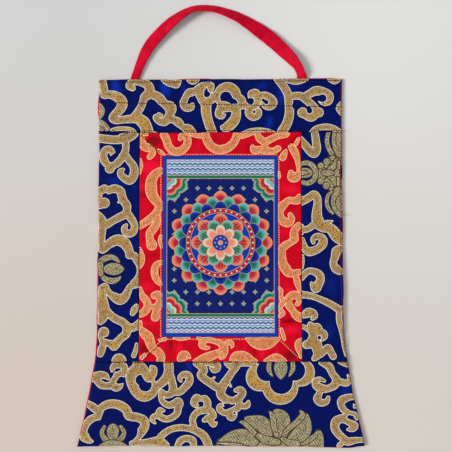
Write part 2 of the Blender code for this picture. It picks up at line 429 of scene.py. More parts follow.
def rectangle(left, right, head, foot):
    """Corners across and down, anticlockwise as seen from the front."""
    return [(left, foot), (right, foot), (right, head), (left, head)]


def panel_shape(corners, thick, pucker, turn):
    """Everything about a panel's face but its woven relief: its places, top, back and waves."""
    across, down, sides = panel_grid(corners)
    x, y, lift = lay(across, down)
    from_edge = np.minimum.reduce([distance for distance, _ in sides])
    waves = sum(seam_pucker(along, away, turn + n) for n, (away, along) in enumerate(sides))
    swell = sum(
        np.sin(x * across_turn + y * up_turn + (n + 1) * turn)
        for n, (across_turn, up_turn) in enumerate(SWELL_WAVES)
    )
    waves = waves + SWELL_SHARE * swell
    settled = smooth(from_edge / SETTLES_WITHIN)
    top = PANEL_BASE + lift + thick * rounding(from_edge, TURNED_EDGE) + pucker * waves * settled
    return x, y, top, PANEL_BASE + lift, waves


# The printed design, in millimetres from the picture's middle
HALF_WIDE, HALF_HIGH = HALF_PICTURE * 1000, (PICTURE_FOOT - PICTURE_HEAD) * 500
BAND_FROM = 70.0
BAND_EDGE = 3.0
WAVE_SIZE, WAVE_SHIFT = 5.2, 1.9
RIM_WIDE = 4.4
ROSETTE_UP = 3.0
SPRIG_PITCH = 11.5
SPRIG_MIDDLE, SPRIG_LOBE, SPRIG_HEART = 0.9, 1.5, 0.75
RING_EDGE, RING_FIELD, ROSETTE_HEART, ROSETTE_EYE = 34.5, 30.4, 8.6, 2.6
PEARL_ROUND, PEARL_COUNT, PEARL_RING, PEARL_SPACING = 1.25, 36, 32.4, 5.7
SEED_ROUND, SEED_COUNT, SEED_RING, SEED_SPACING = 1.0, 8, 5.4, 4.2

picture_print = Finish("picture_print", Specular_IOR_Level=DULL_CLOTH)
place = picture_print.in_mm(0.0, PICTURE_MIDDLE)
parts = picture_print.node("ShaderNodeSeparateXYZ", sockets={"Vector": place})
side_way, up_way = parts, parts.other("Y")
radius = (side_way**2 + (up_way - ROSETTE_UP) ** 2) ** 0.5
angle = (up_way - ROSETTE_UP).reckon("ARCTAN2", side_way)


def petal_ring(count, turned, inner, outer, roundness):
    """How far inside a ring of petals a place is, in millimetres."""
    lobe = ((angle * (count / 2) + turned).reckon("COSINE")).reckon("ABSOLUTE") ** roundness
    return inner + (outer - inner) * lobe - radius


def from_beads(count, ring, spacing):
    """How far a place is from the nearest of a ring of beads, in millimetres."""
    turn = (angle * (count / (2 * math.pi)) + 0.5).reckon("FRACT") - 0.5
    return ((turn * spacing) ** 2 + (radius - ring) ** 2) ** 0.5


def painted(below, depth, fill, edge=GOLD_LINE, line=0.55):
    """Lays a shape with a fine outline over the colours below it."""
    outlined = picture_print.blend(picture_print.rise(depth, 0.0, 0.15), below, edge)
    return picture_print.blend(picture_print.rise(depth, line, line + 0.15), outlined, fill)


def scallops(across_way, up, size):
    """Rows of overlapping arcs like waves: rings round the nearest middle, from 0 to 1."""
    row = (up / size).reckon("FLOOR")
    shift = row.reckon("MODULO", 2.0) * 0.5
    column = (across_way / size + shift).reckon("FRACT") - 0.5
    rise = (up / size).reckon("FRACT")
    return ((column**2 + rise**2) ** 0.5).reckon("MINIMUM", 1.0)


speckle = picture_print.grain(place, 0.9, 1.0)
ground = picture_print.blend(speckle * 0.25, NAVY, tint(20, 44, 124))
cell_across = (side_way / SPRIG_PITCH + 0.5).reckon("FRACT") - 0.5
cell_up = (up_way / SPRIG_PITCH + 0.5).reckon("FRACT") - 0.5
sprig_away = (cell_across**2 + cell_up**2) ** 0.5 * SPRIG_PITCH
sprig_lobe = (cell_up.reckon("ARCTAN2", cell_across) * 2.0).reckon("COSINE").reckon("ABSOLUTE")
sprig = SPRIG_MIDDLE + sprig_lobe * SPRIG_LOBE - sprig_away
colour = painted(ground, sprig, TEAL, GOLD_LINE, 0.4)
colour = painted(colour, SPRIG_HEART - sprig_away, CORAL, CRIMSON, 0.2)

# The corner fans: each ring's reach, how far its lobes swell, and its colours
corner_across = HALF_WIDE - side_way.reckon("ABSOLUTE")
corner_up = BAND_FROM - up_way.reckon("ABSOLUTE")
corner_away = (corner_across**2 + corner_up**2) ** 0.5
corner_turn = corner_up.reckon("ARCTAN2", corner_across)
corner_lobe = (corner_turn * 6.0).reckon("COSINE").reckon("ABSOLUTE") ** 0.5
for reach, swell, fill, rim in (
    (27.0, 3.2, DEEP_GREEN, TEAL),
    (21.5, 2.6, CRIMSON, CORAL),
    (15.5, 2.0, TEAL, PEARL),
    (9.5, 1.2, CORAL, CRIMSON),
    (4.5, 0.5, ULTRAMARINE, GOLD_LINE),
):
    fan = reach - swell + swell * corner_lobe - corner_away
    shaded = picture_print.blend(picture_print.rise(fan, 0.6, 3.6), rim, fill)
    colour = painted(colour, fan, shaded)

# The rosette's petal rings: how many petals, turned, from and to which radius, and their colours
for count, turned, inner, outer, fill, rim in (
    (16, 0.0, 41.0, 52.0, CRIMSON, CORAL),
    (16, math.pi / 2, 37.0, 47.0, DEEP_GREEN, TEAL),
    (16, 0.0, 33.5, 42.0, NAVY, ULTRAMARINE),
):
    ring = petal_ring(count, turned, inner, outer, 0.6)
    shaded = picture_print.blend(picture_print.rise(ring, 0.6, 6.5), rim, fill)
    colour = painted(colour, ring, shaded)
colour = painted(colour, RING_EDGE - radius, CRIMSON)
pearl_away = from_beads(PEARL_COUNT, PEARL_RING, PEARL_SPACING)
colour = painted(colour, PEARL_ROUND - pearl_away, PEARL, tint(120, 30, 40), 0.25)
colour = painted(colour, RING_FIELD - radius, ULTRAMARINE)
for count, turned, inner, outer, fill, rim in (
    (8, 0.0, 17.0, 29.4, CRIMSON, CORAL),
    (8, math.pi / 2, 14.5, 24.0, DEEP_GREEN, TEAL),
    (8, 0.0, 10.5, 18.0, CORAL, PEARL),
):
    ring = petal_ring(count, turned, inner, outer, 0.5)
    shaded = picture_print.blend(picture_print.rise(ring, 0.6, 5.0), rim, fill)
    veins = (angle * (count * 3.0)).reckon("COSINE").reckon("ABSOLUTE")
    shaded = picture_print.blend(picture_print.rise(veins, 0.93, 1.0) * 0.5, shaded, GOLD_LINE)
    colour = painted(colour, ring, shaded)
colour = painted(colour, ROSETTE_HEART - radius, ULTRAMARINE)
seed_away = from_beads(SEED_COUNT, SEED_RING, SEED_SPACING)
colour = painted(colour, SEED_ROUND - seed_away, GOLD_LINE, tint(110, 80, 40), 0.2)
colour = painted(colour, ROSETTE_EYE - radius, CORAL, GOLD_LINE, 0.5)

# The wave bands at the head and the foot: from and to which share of an arc, and the colour there
band_up = up_way.reckon("ABSOLUTE") - BAND_FROM
arcs = scallops(side_way + WAVE_SHIFT, band_up, WAVE_SIZE)
waves = TEAL
for low, high, tone in (
    (0.30, 0.36, ULTRAMARINE),
    (0.50, 0.56, PEARL),
    (0.72, 0.78, tint(70, 110, 190)),
    (0.90, 0.95, PEARL),
):
    waves = picture_print.blend(picture_print.rise(arcs, low, high), waves, tone)
colour = painted(colour, band_up + BAND_EDGE, DEEP_GREEN)
colour = painted(colour, band_up, waves)
rim_away = (HALF_WIDE - side_way.reckon("ABSOLUTE")).reckon(
    "MINIMUM", HALF_HIGH - up_way.reckon("ABSOLUTE")
)
colour = painted(colour, RIM_WIDE - rim_away, ULTRAMARINE)
colour = picture_print.blend(speckle * 0.10, colour, tint(60, 50, 60))
PRINT_WEAVE, PRINT_RELIEF = 0.5, 0.00004
printed_cotton = picture_print.end(
    colour, 0.55 + speckle * 0.15, picture_print.weave(place, PRINT_WEAVE), PRINT_RELIEF
)

PICTURE_PUCKER = 0.00007
PICTURE_TURN = 0.4
picture_corners = rectangle(-HALF_PICTURE, HALF_PICTURE, PICTURE_HEAD, PICTURE_FOOT)
x, y, top, back, _ = panel_shape(picture_corners, PICTURE_THICK, PICTURE_PUCKER, PICTURE_TURN)
picture = closed_sheet("printed_picture", x, y, top, back)
picture.data.materials.append(printed_cotton)
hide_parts("picture")
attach(picture, "root")
front_panels = [picture]

# The red border is four strips of satin brocade, sewn round the picture and to each other in
# mitres. Its scrolls are woven in flat gold thread with a peach outline. The scrolls' lines were
# placed on the photograph: column, row and width, each in its pixels.
PHOTO_WIDE = 452
PHOTO_MIDDLE = PHOTO_WIDE / 2
CAMERA_LENS = 59.7
CAMERA_SENSOR = 36
PHOTO_FOCAL = PHOTO_WIDE * CAMERA_LENS / CAMERA_SENSOR
CAMERA_TILT = math.radians(2.6)
CAMERA_AIM = Vector((0.0055, -0.0028, 0.0))
CAMERA_AWAY = 0.75
CAMERA_PLACE = CAMERA_AIM + CAMERA_AWAY * Vector((0, -math.sin(CAMERA_TILT), math.cos(CAMERA_TILT)))
FACE_HEIGHT = 0.0028
PHOTO_PIXEL = (CAMERA_AWAY - FACE_HEIGHT) / PHOTO_FOCAL
STROKE_STEPS = 4
STROKE_REACH = 0.003
NOT_WOVEN = -9.0
SHORTEST_RUN = 1e-12

BORDER_THICK = 0.0015
BORDER_PUCKER = 0.00016
BORDER_HEAD = 0.054
BORDER_FOOT = 0.2825


def on_cloth(column, row, height=FACE_HEIGHT):
    """Where on the hanging a pixel of the photograph falls: x and y, in metres."""
    right, up = column - PHOTO_MIDDLE, PHOTO_MIDDLE - row
    north = up * math.cos(CAMERA_TILT) + PHOTO_FOCAL * math.sin(CAMERA_TILT)
    fall = PHOTO_FOCAL * math.cos(CAMERA_TILT) - up * math.sin(CAMERA_TILT)
    reach = (CAMERA_PLACE.z - height) / fall
    return CAMERA_PLACE.x + right * reach, CAMERA_PLACE.y + north * reach


def between(before, start, end, after, share):
    """A place on the smooth curve that runs through start and end."""
    return 0.5 * (
        2 * start
        + (end - before) * share
        + (2 * before - 5 * start + 4 * end - after) * share**2
        + (3 * start - before - 3 * end + after) * share**3
    )


def stroke_line(points):
    """The smooth line through a stroke's points: rows of x, y and half width, in metres."""
    ends = np.array([points[0], *points, points[-1]], float)
    shares = (np.arange(STROKE_STEPS) / STROKE_STEPS)[:, None]
    pieces = [between(*ends[n : n + 4], shares) for n in range(len(points) - 1)]
    column, row, width = np.concatenate([*pieces, ends[-1:]]).T
    x, y = on_cloth(column, row)
    return np.stack([x, y, width * PHOTO_PIXEL / 2], -1)


# Where a petal lies over another, a dark line runs outside its edge, so wide and so deep, in mm.
OUTLINE_OUTSIDE = 0.75
OUTLINE_DEPTH = 0.25


def woven_depth(strokes, x, y, overlapping=False):
    """How far inside the strokes each place is, in millimetres, and negative outside them."""
    depth = np.full(x.shape, NOT_WOVEN)
    for points in strokes.values():
        line = stroke_line(points)
        reach = line[:, 2].max() + STROKE_REACH
        low, high = line[:, :2].min(0) - reach, line[:, :2].max(0) + reach
        near = (x > low[0]) & (x < high[0]) & (y > low[1]) & (y < high[1])
        if not near.any():
            continue
        spot_x, spot_y = x[near], y[near]
        own = np.full(spot_x.shape, NOT_WOVEN)
        for start, end in zip(line, [*line[1:], line[-1]]):
            run = end - start
            length = max(run[0] ** 2 + run[1] ** 2, SHORTEST_RUN)
            share = ((spot_x - start[0]) * run[0] + (spot_y - start[1]) * run[1]) / length
            share = np.clip(share, 0.0, 1.0)
            away = np.hypot(spot_x - start[0] - share * run[0], spot_y - start[1] - share * run[1])
            own = np.maximum(own, (start[2] + share * run[2] - away) * 1000)
        joined = np.maximum(depth[near], own)
        if overlapping:
            outlined = (own > -OUTLINE_OUTSIDE) & (joined > OUTLINE_DEPTH)
            joined = np.where(own > 0, own, np.where(outlined, OUTLINE_DEPTH, joined))
        depth[near] = joined
    return depth


def gold_depth(scrolls, bays, curls, x, y):
    """The depth of the gold: its scrolls, less the bays of plain ground, and the curls in those."""
    gold = np.minimum(woven_depth(scrolls, x, y), -woven_depth(bays, x, y))
    return np.maximum(gold, woven_depth(curls, x, y))


# Soft folds in the satin: column, row, half width and half height in pixels, and how strong. A
# strength below 0 is a dip. Each fold is raised or lowered a little in the mesh, and is also
# painted: a painted highlight where it rises and painted shade where it dips, like the wide dip
# that darkens the border's head strip.
SATIN_FOLDS = (
    (154, 141, 7, 6, -0.9), (146, 348, 8, 7, -0.8), (150, 168, 10, 7, 0.9), (290, 354, 9, 6, -0.7),
    (146, 224, 6, 4, -0.6), (146, 209, 6, 6, 0.5), (150, 286, 11, 5, 0.7), (294, 160, 7, 4, -0.6),
    (292, 187, 9, 5, 0.35), (160, 350, 6, 9, 0.7), (236, 352, 4, 9, 0.8), (268, 347, 4, 8, 0.6),
    (219, 143, 82, 10, -0.38),
    (150, 327, 12, 2.2, -0.9), (146, 195, 7, 3, -0.6), (152, 255, 10, 3, -0.5),
    (145, 150, 5, 3, -0.5), (290, 321, 10, 3, -0.9), (291, 244, 9, 3, -0.5),
    (293, 207, 8, 3, -0.6), (290, 275, 10, 3, -0.5), (300, 352, 4, 10, -0.8),
    (205, 141, 3, 8, -0.6), (196, 137, 3, 6, -0.7), (248, 148, 3, 7, -0.6),
    (171, 345, 3, 8, -0.7), (213, 350, 3, 9, -0.7), (255, 351, 2.5, 8, -0.6),
    (232, 345, 3, 8, -0.6), (130, 95, 4, 12, -0.6), (176, 96, 4, 12, -0.5),
    (270, 122, 4, 9, 0.7), (281, 103, 3, 9, 0.5), (333, 100, 5, 12, -0.3),
    (180, 350, 3.5, 12, 1.0), (222, 352, 5, 12, 1.0), (245, 350, 3, 14, 0.7),
    (262, 350, 3.5, 12, 0.9), (277, 352, 3, 10, 0.6), (150, 165, 11, 3.5, 0.8),
    (149, 187, 12, 4, 0.8), (148, 246, 12, 5, 0.9), (152, 301, 12, 4, 0.7),
    (149, 325, 12, 4, 0.9), (172, 143, 4, 11, 0.7), (199, 144, 5, 11, 0.9),
    (246, 141, 4, 10, 0.6), (282, 144, 4, 11, 0.7), (290, 190, 11, 5, 0.8),
    (290, 232, 11, 4, 0.7), (288, 290, 10, 5, 0.8), (291, 330, 10, 5, 0.9),
    (116, 88, 5, 11, 0.9), (165, 89, 6, 9, 1.0), (185, 92, 5, 9, 0.5),
    (285, 90, 9, 10, 0.8), (262, 86, 8, 5, 0.6), (338, 128, 5, 8, 0.4),
    (250, 366, 5, 8, 0.6), (190, 367, 4, 8, 0.6), (225, 380, 9, 12, 0.5),
    (80, 405, 6, 9, 0.4), (345, 392, 6, 10, 0.4), (115, 182, 10, 6, 0.5),
    (330, 286, 9, 8, 0.4), (328, 330, 8, 12, 0.4),
)
FOLD_HEIGHT = 0.00022


def folds_at(x, y):
    """How strongly a soft fold shows at each place, from 0 to about 1, which sets its relief, and
    its painted highlight above 0 and painted shade below 0.
    """
    strength = np.zeros_like(x)
    for column, row, half_wide, half_high, most in SATIN_FOLDS:
        middle = on_cloth(column, row)
        wide, high = half_wide * PHOTO_PIXEL, half_high * PHOTO_PIXEL
        strength += most * np.exp(-(((x - middle[0]) / wide) ** 2) - ((y - middle[1]) / high) ** 2)
    return strength


# The weave, in millimetres. One thread shows for a float's length across and along, and the rest
# is counted in from a scroll's or a petal's edge. Each pair is where a step starts and ends.
THREAD_FLOAT = (0.85, 1.0, 50.0)
# The third size here is that of the painted sheen streaks on the satin.
PATCH_SIZE, DULL_PATCH, SHEEN_STREAK_SIZE, SATIN_THREAD = 5.0, 48.0, 7.0, 0.6
RAGGED_EDGE, RAGGED_BY = 0.55, 0.5
SCROLL_OUTLINE = (0.65, 0.9)
LIGHT_LINE_IN, LIGHT_LINE_OUT = (1.65, 1.8), (2.1, 2.25)
SCROLL_HEART = (3.5, 3.8)
DARK_LINES = ((0.95, 1.35, 0.9), (2.55, 2.95, 0.5), (3.3, 3.6, 0.6))
HATCH_PITCH, HATCH_SLANT, OTHER_SLANT = 2.8, 0.75, 1.05
SWIRL_SIZE = 3.4
PETAL_OUTLINE = (0.65, 0.95)
PETAL_VEIN_IN, PETAL_VEIN_OUT = (1.35, 1.5), (1.8, 2.0)
PETAL_HATCH, PETAL_DEEP = (1.5, 1.7), (3.0, 6.0)
WEAVE_RELIEF = 0.00007


class Brocade(Finish):
    """Satin with woven gold scrolls and petals, whose pattern and painted fold highlight and shade
    are in the cloth's own attributes.
    """

    def __init__(self, name, **constants):
        super().__init__(name, **constants)
        self.place = self.in_mm()
        # The sheen attribute holds the painted highlight and shade of the satin's folds and
        # puckers.
        gold, self.petal, self.folds_and_sheen = (self.kept(part) for part in ("gold", "petal", "sheen"))
        ragged = self.grain(self.place, RAGGED_EDGE, 0.0) - 0.5
        self.gold = gold + ragged * RAGGED_BY
        cell = self.node(
            "ShaderNodeVectorMath", {"operation": "SNAP"}, {0: self.place, 1: THREAD_FLOAT}
        )
        self.pick = self.node("ShaderNodeTexWhiteNoise", sockets={"Vector": cell}, output="Value")
        self.fine = self.grain(self.place, SATIN_THREAD, 1.0, (0.35, 1.8, 1.0))

    def kept(self, name):
        """A value that the cloth's mesh keeps at each place."""
        return self.node("ShaderNodeAttribute", {"attribute_name": name}, output="Fac")

    def line(self, depth, step_in, step_out):
        """1 along a line at this depth from an edge, and 0 on both sides of it."""
        return self.rise(depth, *step_in) * (1.0 - self.rise(depth, *step_out))

    def satin(self, ground, sheen):
        """The plain ground, with a painted highlight in the sheen colour where a fold rises and
        along soft streaks, and painted shade where a fold dips.
        """
        # Painted highlight, in the sheen colour, where a fold rises and along soft stretched
        # streaks.
        sheen_streaks = self.grain(self.place, SHEEN_STREAK_SIZE, 3.0, (1.0, 0.55, 1.0))
        dark = tuple(part * 0.35 for part in ground[:3]) + (1.0,)
        lit = self.rise(self.folds_and_sheen * 0.9 + sheen_streaks * 0.7, 0.35, 1.35)
        satin = self.blend(lit, ground, sheen)
        # Painted shade where a fold dips.
        satin = self.blend(self.rise(0.0 - self.folds_and_sheen, 0.1, 0.9) * 0.9, satin, dark)
        return self.blend(self.fine * 0.28, satin, dark)

    def scroll(self, outline, threads, centre, dulled, dashes):
        """Gold threads of several tones, in lines that follow the scroll's edge."""
        patch = self.grain(self.place, PATCH_SIZE, 1.0)
        worked = self.blend(self.rise(patch, 0.3, 0.75), threads[0], threads[1])
        for low, tone, share in threads[2:]:
            worked = self.blend(self.rise(self.pick, low, low + 0.02) * share, worked, tone)
        in_centre = self.rise(self.gold, *SCROLL_HEART) * (1.0 - self.rise(self.pick, 0.75, 0.8))
        worked = self.blend(in_centre, worked, centre)
        light_line = self.line(self.gold, LIGHT_LINE_IN, LIGHT_LINE_OUT)
        worked = self.blend(light_line * 0.55, worked, threads[2][1])
        dash = self.rise(self.pick, 0.30, 0.36) * dashes
        for depth_in, depth_out, share in DARK_LINES:
            step_in, step_out = (depth_in - 0.1, depth_in + 0.05), (depth_out, depth_out + 0.15)
            line = self.line(self.gold, step_in, step_out)
            worked = self.blend(line * dash * share, worked, threads[-1][1])
        duller = self.rise(self.grain(self.place, DULL_PATCH, 1.0), 0.40, 0.58) * 0.26
        worked = self.blend(duller, worked, dulled)
        rim = 1.0 - self.rise(self.gold, *SCROLL_OUTLINE)
        return self.blend(rim * 0.95, worked, outline)

    def leaf(self, pale, shade, line):
        """A petal: cross-hatched, with a vein inside its edge and a dark line round it."""
        parts = self.node("ShaderNodeSeparateXYZ", sockets={"Vector": self.place})
        up, turn = parts.other("Y"), 2 * math.pi / HATCH_PITCH
        slant = ((parts + up * HATCH_SLANT) * turn).reckon("SINE")
        other_slant = ((parts - up * OTHER_SLANT) * turn).reckon("SINE")
        lattice = self.rise(slant + other_slant * 0.8, -0.5, 0.7) * 0.72
        hatched = self.blend(lattice, pale, shade)
        swirl = (self.grain(self.place, SWIRL_SIZE, 1.0) - 0.5).reckon("ABSOLUTE")
        hatched = self.blend((1.0 - self.rise(swirl, 0.01, 0.05)) * 0.8, hatched, line)
        hatched = self.blend(self.rise(self.petal, *PETAL_DEEP) * 0.2, hatched, shade)
        leaf = self.blend(self.rise(self.petal, *PETAL_HATCH), pale, hatched)
        inner_vein = self.line(self.petal, PETAL_VEIN_IN, PETAL_VEIN_OUT)
        leaf = self.blend(inner_vein * 0.75, leaf, line)
        leaf = self.blend(1.0 - self.rise(self.petal, *PETAL_OUTLINE), leaf, line)
        return self.blend(self.rise(self.pick, 0.7, 0.74) * 0.4, leaf, shade)

    def woven(self, satin, scroll, leaf):
        """The finished cloth: scrolls over the satin, and petals over both."""
        on_gold = self.rise(self.gold, -0.1, 0.1)
        on_petal = self.rise(self.petal, -0.1, 0.1)
        colour = self.blend(on_gold, satin, scroll)
        colour = self.blend(on_petal, colour, leaf)
        worked_share = on_gold.reckon("MAXIMUM", on_petal)
        roughness = 0.42 + worked_share * 0.14 + self.fine * 0.08
        height = worked_share * (0.5 + self.pick * 0.6) + self.fine * 0.35
        return self.end(colour, roughness, height, WEAVE_RELIEF)


RELIEF = 0.00010
RELIEF_FROM, RELIEF_OVER = 0.1, 0.6
WAVES_SHEEN = 0.12


def brocade_panel(name, node, corners, thick, pucker, turn, pattern, cloth, area=None):
    """One cut piece of brocade, with the depth of its woven pattern and the painted highlight and
    shade of each fold kept at each place.
    """
    x, y, top, back, waves = panel_shape(corners, thick, pucker, turn)
    scrolls, bays, curls, petals = pattern
    gold = gold_depth(scrolls, bays, curls, x, y)
    petal = woven_depth(petals, x, y, overlapping=True)
    folds_and_sheen = folds_at(x, y)
    raised = smooth((np.maximum(gold, petal) + RELIEF_FROM) / RELIEF_OVER)
    top = top + RELIEF * raised + FOLD_HEIGHT * folds_and_sheen
    # Painted highlight and shade: the satin is painted lighter where the folds and puckers rise and
    # darker where they dip, by this sheen value.
    sheen = folds_and_sheen + WAVES_SHEEN * waves
    panel = closed_sheet(name, x, y, top, back)
    for attribute, values in (("gold", gold), ("petal", petal), ("sheen", sheen)):
        kept = panel.data.attributes.new(attribute, "FLOAT", "POINT")
        kept.data.foreach_set("value", np.tile(values.ravel(), 2).astype(np.float32))
    panel.data.materials.append(cloth)
    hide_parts(node)
    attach(panel, "root")
    wide = x.max() - x.min()
    long = y.max() - y.min()
    front_panels.append(panel)


BORDER_SCROLLS = {
    "left top wave": [(160, 171, 7.5), (155, 174.5, 9), (151.5, 180.5, 10.5), (151, 187, 11.5),
        (151.8, 193.5, 11.2), (154.8, 199, 10), (159, 204, 8.5)],
    "left slant": [(159.5, 205, 8), (157, 212, 8), (150, 219, 8), (143.5, 223.5, 7.5),
        (139, 226, 7)],
    "left middle wave": [(157, 217, 7), (156.5, 223, 8), (153.5, 228.5, 8.5), (149.8, 233.5, 8),
        (150, 239.5, 7.5), (151.8, 245, 10.5)],
    "left inner bit": [(160.8, 236, 3.5), (160, 241, 4), (161.5, 247, 3)],
    "left outer bit": [(139.8, 160, 4), (140.5, 166, 5), (139.5, 173, 3)],
    "left outer lobe": [(139.5, 249, 4), (141, 256, 7), (141, 262, 7), (139.5, 267, 4)],
    "left hook": [(161, 262.5, 5), (157, 264.5, 6.5), (154.7, 269, 7.3), (154.8, 275, 7.3),
        (157.3, 280.5, 6.5), (160.5, 284, 4)],
    "left outer hook": [(140.3, 288, 3), (141.5, 293, 5), (143.5, 297.5, 7), (147, 301.5, 7.5),
        (147.3, 308, 8), (143.5, 312.5, 7.5), (139.8, 314.5, 6)],
    "left inner curl": [(154.5, 295.5, 7.5), (158.5, 295, 8), (159.8, 300.5, 6.5),
        (158.3, 305.5, 8), (156, 311, 7), (155.3, 317, 8.8)],
    "left link": [(149, 306, 4), (153.5, 306.5, 5), (158, 306.5, 8)],
    "left foot wave": [(140.5, 322, 3.5), (140.8, 328, 4.5), (144, 333, 9), (148.5, 337.5, 10),
        (150.5, 343.5, 9.5), (153, 349, 8), (158, 352, 8.5), (161, 357, 8.5), (160, 362, 7.5)],
    "left foot bit": [(160, 340.5, 3), (165, 339.5, 3.5)],
    "left corner bit": [(141.5, 358, 4), (145, 354.8, 3.5)],
    "head left stem": [(141, 135.5, 5), (142.5, 140.5, 6.5), (143.5, 146, 8), (147.5, 148.5, 7)],
    "head left hook": [(148, 145.5, 5), (151.5, 148.5, 6), (152.5, 153.5, 6.5), (149.5, 157, 5.5)],
    "head left bit": [(142, 133.8, 4), (147, 134.5, 3)],
    "head inner bit": [(158, 150, 2.5), (161, 152.3, 4.5), (164, 155, 3)],
    "head bowl": [(164, 135, 8), (166.5, 140, 8), (168.5, 146, 8), (173, 151, 8.3),
        (179.5, 151.3, 8.3), (185, 147.5, 8), (187.5, 142, 8), (186.5, 136.5, 7.5),
        (181.8, 135.5, 6), (180, 139, 4)],
    "head seam bit": [(190, 134, 3), (196, 135.5, 4.5), (203, 135.8, 5)],
    "head middle bowl": [(205.5, 134, 7.5), (207, 140, 8.5), (211, 146, 9), (217.5, 149.3, 9),
        (225, 148.8, 9), (231.5, 145, 8.5), (235.5, 139.5, 8), (237, 134.5, 8)],
    "head arm": [(237, 136, 5), (243, 136, 5), (250, 134, 4), (255, 132.5, 3)],
    "head right bowl": [(257.5, 134.5, 6), (260, 139, 7.5), (265.5, 141.5, 7.5), (271.5, 138.8, 7),
        (277.5, 136, 6.5), (285.5, 135, 5.5), (288.5, 134, 3)],
    "head right wave": [(252.5, 146.5, 4), (254.5, 150, 8), (260.5, 149.5, 7), (266.5, 150.5, 8),
        (273, 151, 6.5), (278, 148.5, 6.5)],
    "head right link": [(264.5, 144, 6), (265, 148, 7)],
    "right corner bit": [(298.5, 139, 4), (296, 144, 4)],
    "right top wave": [(291, 146.5, 6), (294, 150.5, 8), (296.5, 156.5, 6.5), (298, 163, 5),
        (299.5, 170, 5)],
    "right inner hook": [(286, 150.5, 3), (284, 154.5, 6.5), (282.8, 157.5, 7)],
    "right small curl": [(299.5, 166, 3), (298.5, 172, 4), (296.5, 176.5, 9), (292.5, 177, 10),
        (291, 172.5, 5.5)],
    "right inner bit": [(279, 172, 2.5), (279.5, 177, 3)],
    "right spiral": [(299.1, 195.7, 4), (298.5, 199.5, 8), (294, 200.8, 7), (288.9, 200.2, 6.5),
        (285.1, 203.4, 7.5), (281.9, 206.6, 8.5), (280, 211, 7), (280.6, 217.4, 8),
        (284.5, 221.9, 9), (288.9, 222.5, 8.5), (291.5, 218.7, 7), (290.2, 214.8, 5)],
    "right long arch": [(298.5, 225.7, 7), (294.7, 230.2, 7.5), (294, 235.3, 8.5), (294.5, 239, 8),
        (289.6, 242.9, 7), (285.1, 245.5, 8), (281.9, 249.3, 8), (281.3, 254.4, 9),
        (282.6, 262.6, 9), (285.1, 267.7, 10), (288.3, 272.1, 9.5), (292.8, 273.4, 7),
        (296.6, 272.1, 6), (299, 272.1, 6)],
    "right long tail": [(294.8, 272.5, 6), (295.9, 276.6, 6), (297.2, 281.7, 6.5),
        (298.5, 286.8, 5), (299.5, 290.6, 4)],
    "right ring": [(297.4, 303.8, 5), (299.2, 301.5, 5), (298.6, 298, 6.5), (296.4, 295.4, 8),
        (292.4, 295.2, 8), (288.7, 298.6, 8), (288.2, 303, 7.5), (290, 306.6, 8), (292.8, 310.4, 7),
        (295.3, 314.2, 8), (298.5, 316.8, 9), (301, 318.7, 7)],
    "right drop": [(302.3, 340.4, 5), (299.6, 343.5, 9), (298.8, 347.6, 7.5), (299.8, 353.1, 4),
        (300.7, 357.6, 2.5)],
    "right inner wave": [(279, 288, 3), (281.3, 291, 4), (281, 296, 4), (283, 301, 5.5),
        (281, 306, 5)],
    "right inner lobe": [(279, 309, 4), (283, 313, 5), (280, 316, 4)],
    "right inner sliver": [(281.3, 328.9, 3), (283.2, 335.3, 4), (284.5, 339.5, 3)],
    "foot left bit": [(159, 340, 2.5), (162.7, 339.6, 3.5), (165.5, 338.5, 3)],
    "foot sliver": [(173.5, 338, 2), (181, 339, 3.5), (189, 338.2, 2.5)],
    "foot wave head": [(198, 337.7, 3), (202.8, 340.5, 6), (208.6, 339.8, 5.5), (214, 341, 5.5),
        (219, 342.6, 6), (222.9, 346, 8), (223.9, 350.1, 9), (222.5, 355, 7.5), (221, 357.8, 4)],
    "foot wave curl": [(201.5, 341, 5), (201.9, 345.3, 6.5), (205.7, 347.7, 4.5),
        (208.6, 347.7, 3)],
    "foot wave hook": [(226.8, 343.4, 6), (230.6, 342.4, 5), (232.5, 345.3, 3.5),
        (231.6, 347.7, 2)],
    "foot wave tail": [(220, 352.5, 7), (211.5, 355.8, 9), (205.7, 357.8, 9), (200.9, 359.7, 8),
        (194.2, 361.1, 3)],
    "foot small curl": [(179.9, 358.7, 6), (183.7, 355.8, 10), (188, 354.9, 4),
        (189.9, 357.8, 2.5)],
    "foot half moon": [(246.9, 338.6, 3), (250.7, 340.5, 7), (256.4, 342.4, 12), (262.2, 343.4, 13),
        (268.9, 342.4, 12), (274.6, 340.5, 7), (279.4, 338.6, 3)],
    "foot arch": [(231.6, 360.6, 5), (235, 356.5, 8), (241, 356.5, 11), (246.5, 356.5, 8),
        (251.7, 359.7, 6), (256.4, 361.1, 3)],
    "foot right arch": [(265, 360.6, 3), (269.8, 358.7, 5), (276.1, 357.6, 8), (282.3, 359.2, 5),
        (286.1, 361.1, 2)],
}

red_cloth = Brocade("red_brocade_satin", Specular_IOR_Level=DULL_CLOTH)
red_satin = red_cloth.woven(
    # The sheen colour is the painted highlight on the red satin's rising folds and streaks.
    red_cloth.satin(ground=tint(204, 1, 28), sheen=tint(240, 12, 50)),
    red_cloth.scroll(
        outline=tint(252, 188, 150),
        threads=(
            tint(208, 128, 80),
            tint(222, 150, 100),
            (0.30, tint(236, 172, 116), 0.8),
            (0.50, tint(198, 132, 70), 0.85),
            (0.68, tint(208, 106, 80), 0.85),
            (0.90, tint(144, 70, 40), 0.85),
        ),
        centre=tint(212, 136, 82),
        dulled=tint(190, 112, 74),
        dashes=0.8,
    ),
    red_cloth.leaf(pale=tint(214, 150, 100), shade=tint(180, 110, 70), line=tint(150, 60, 40)),
)

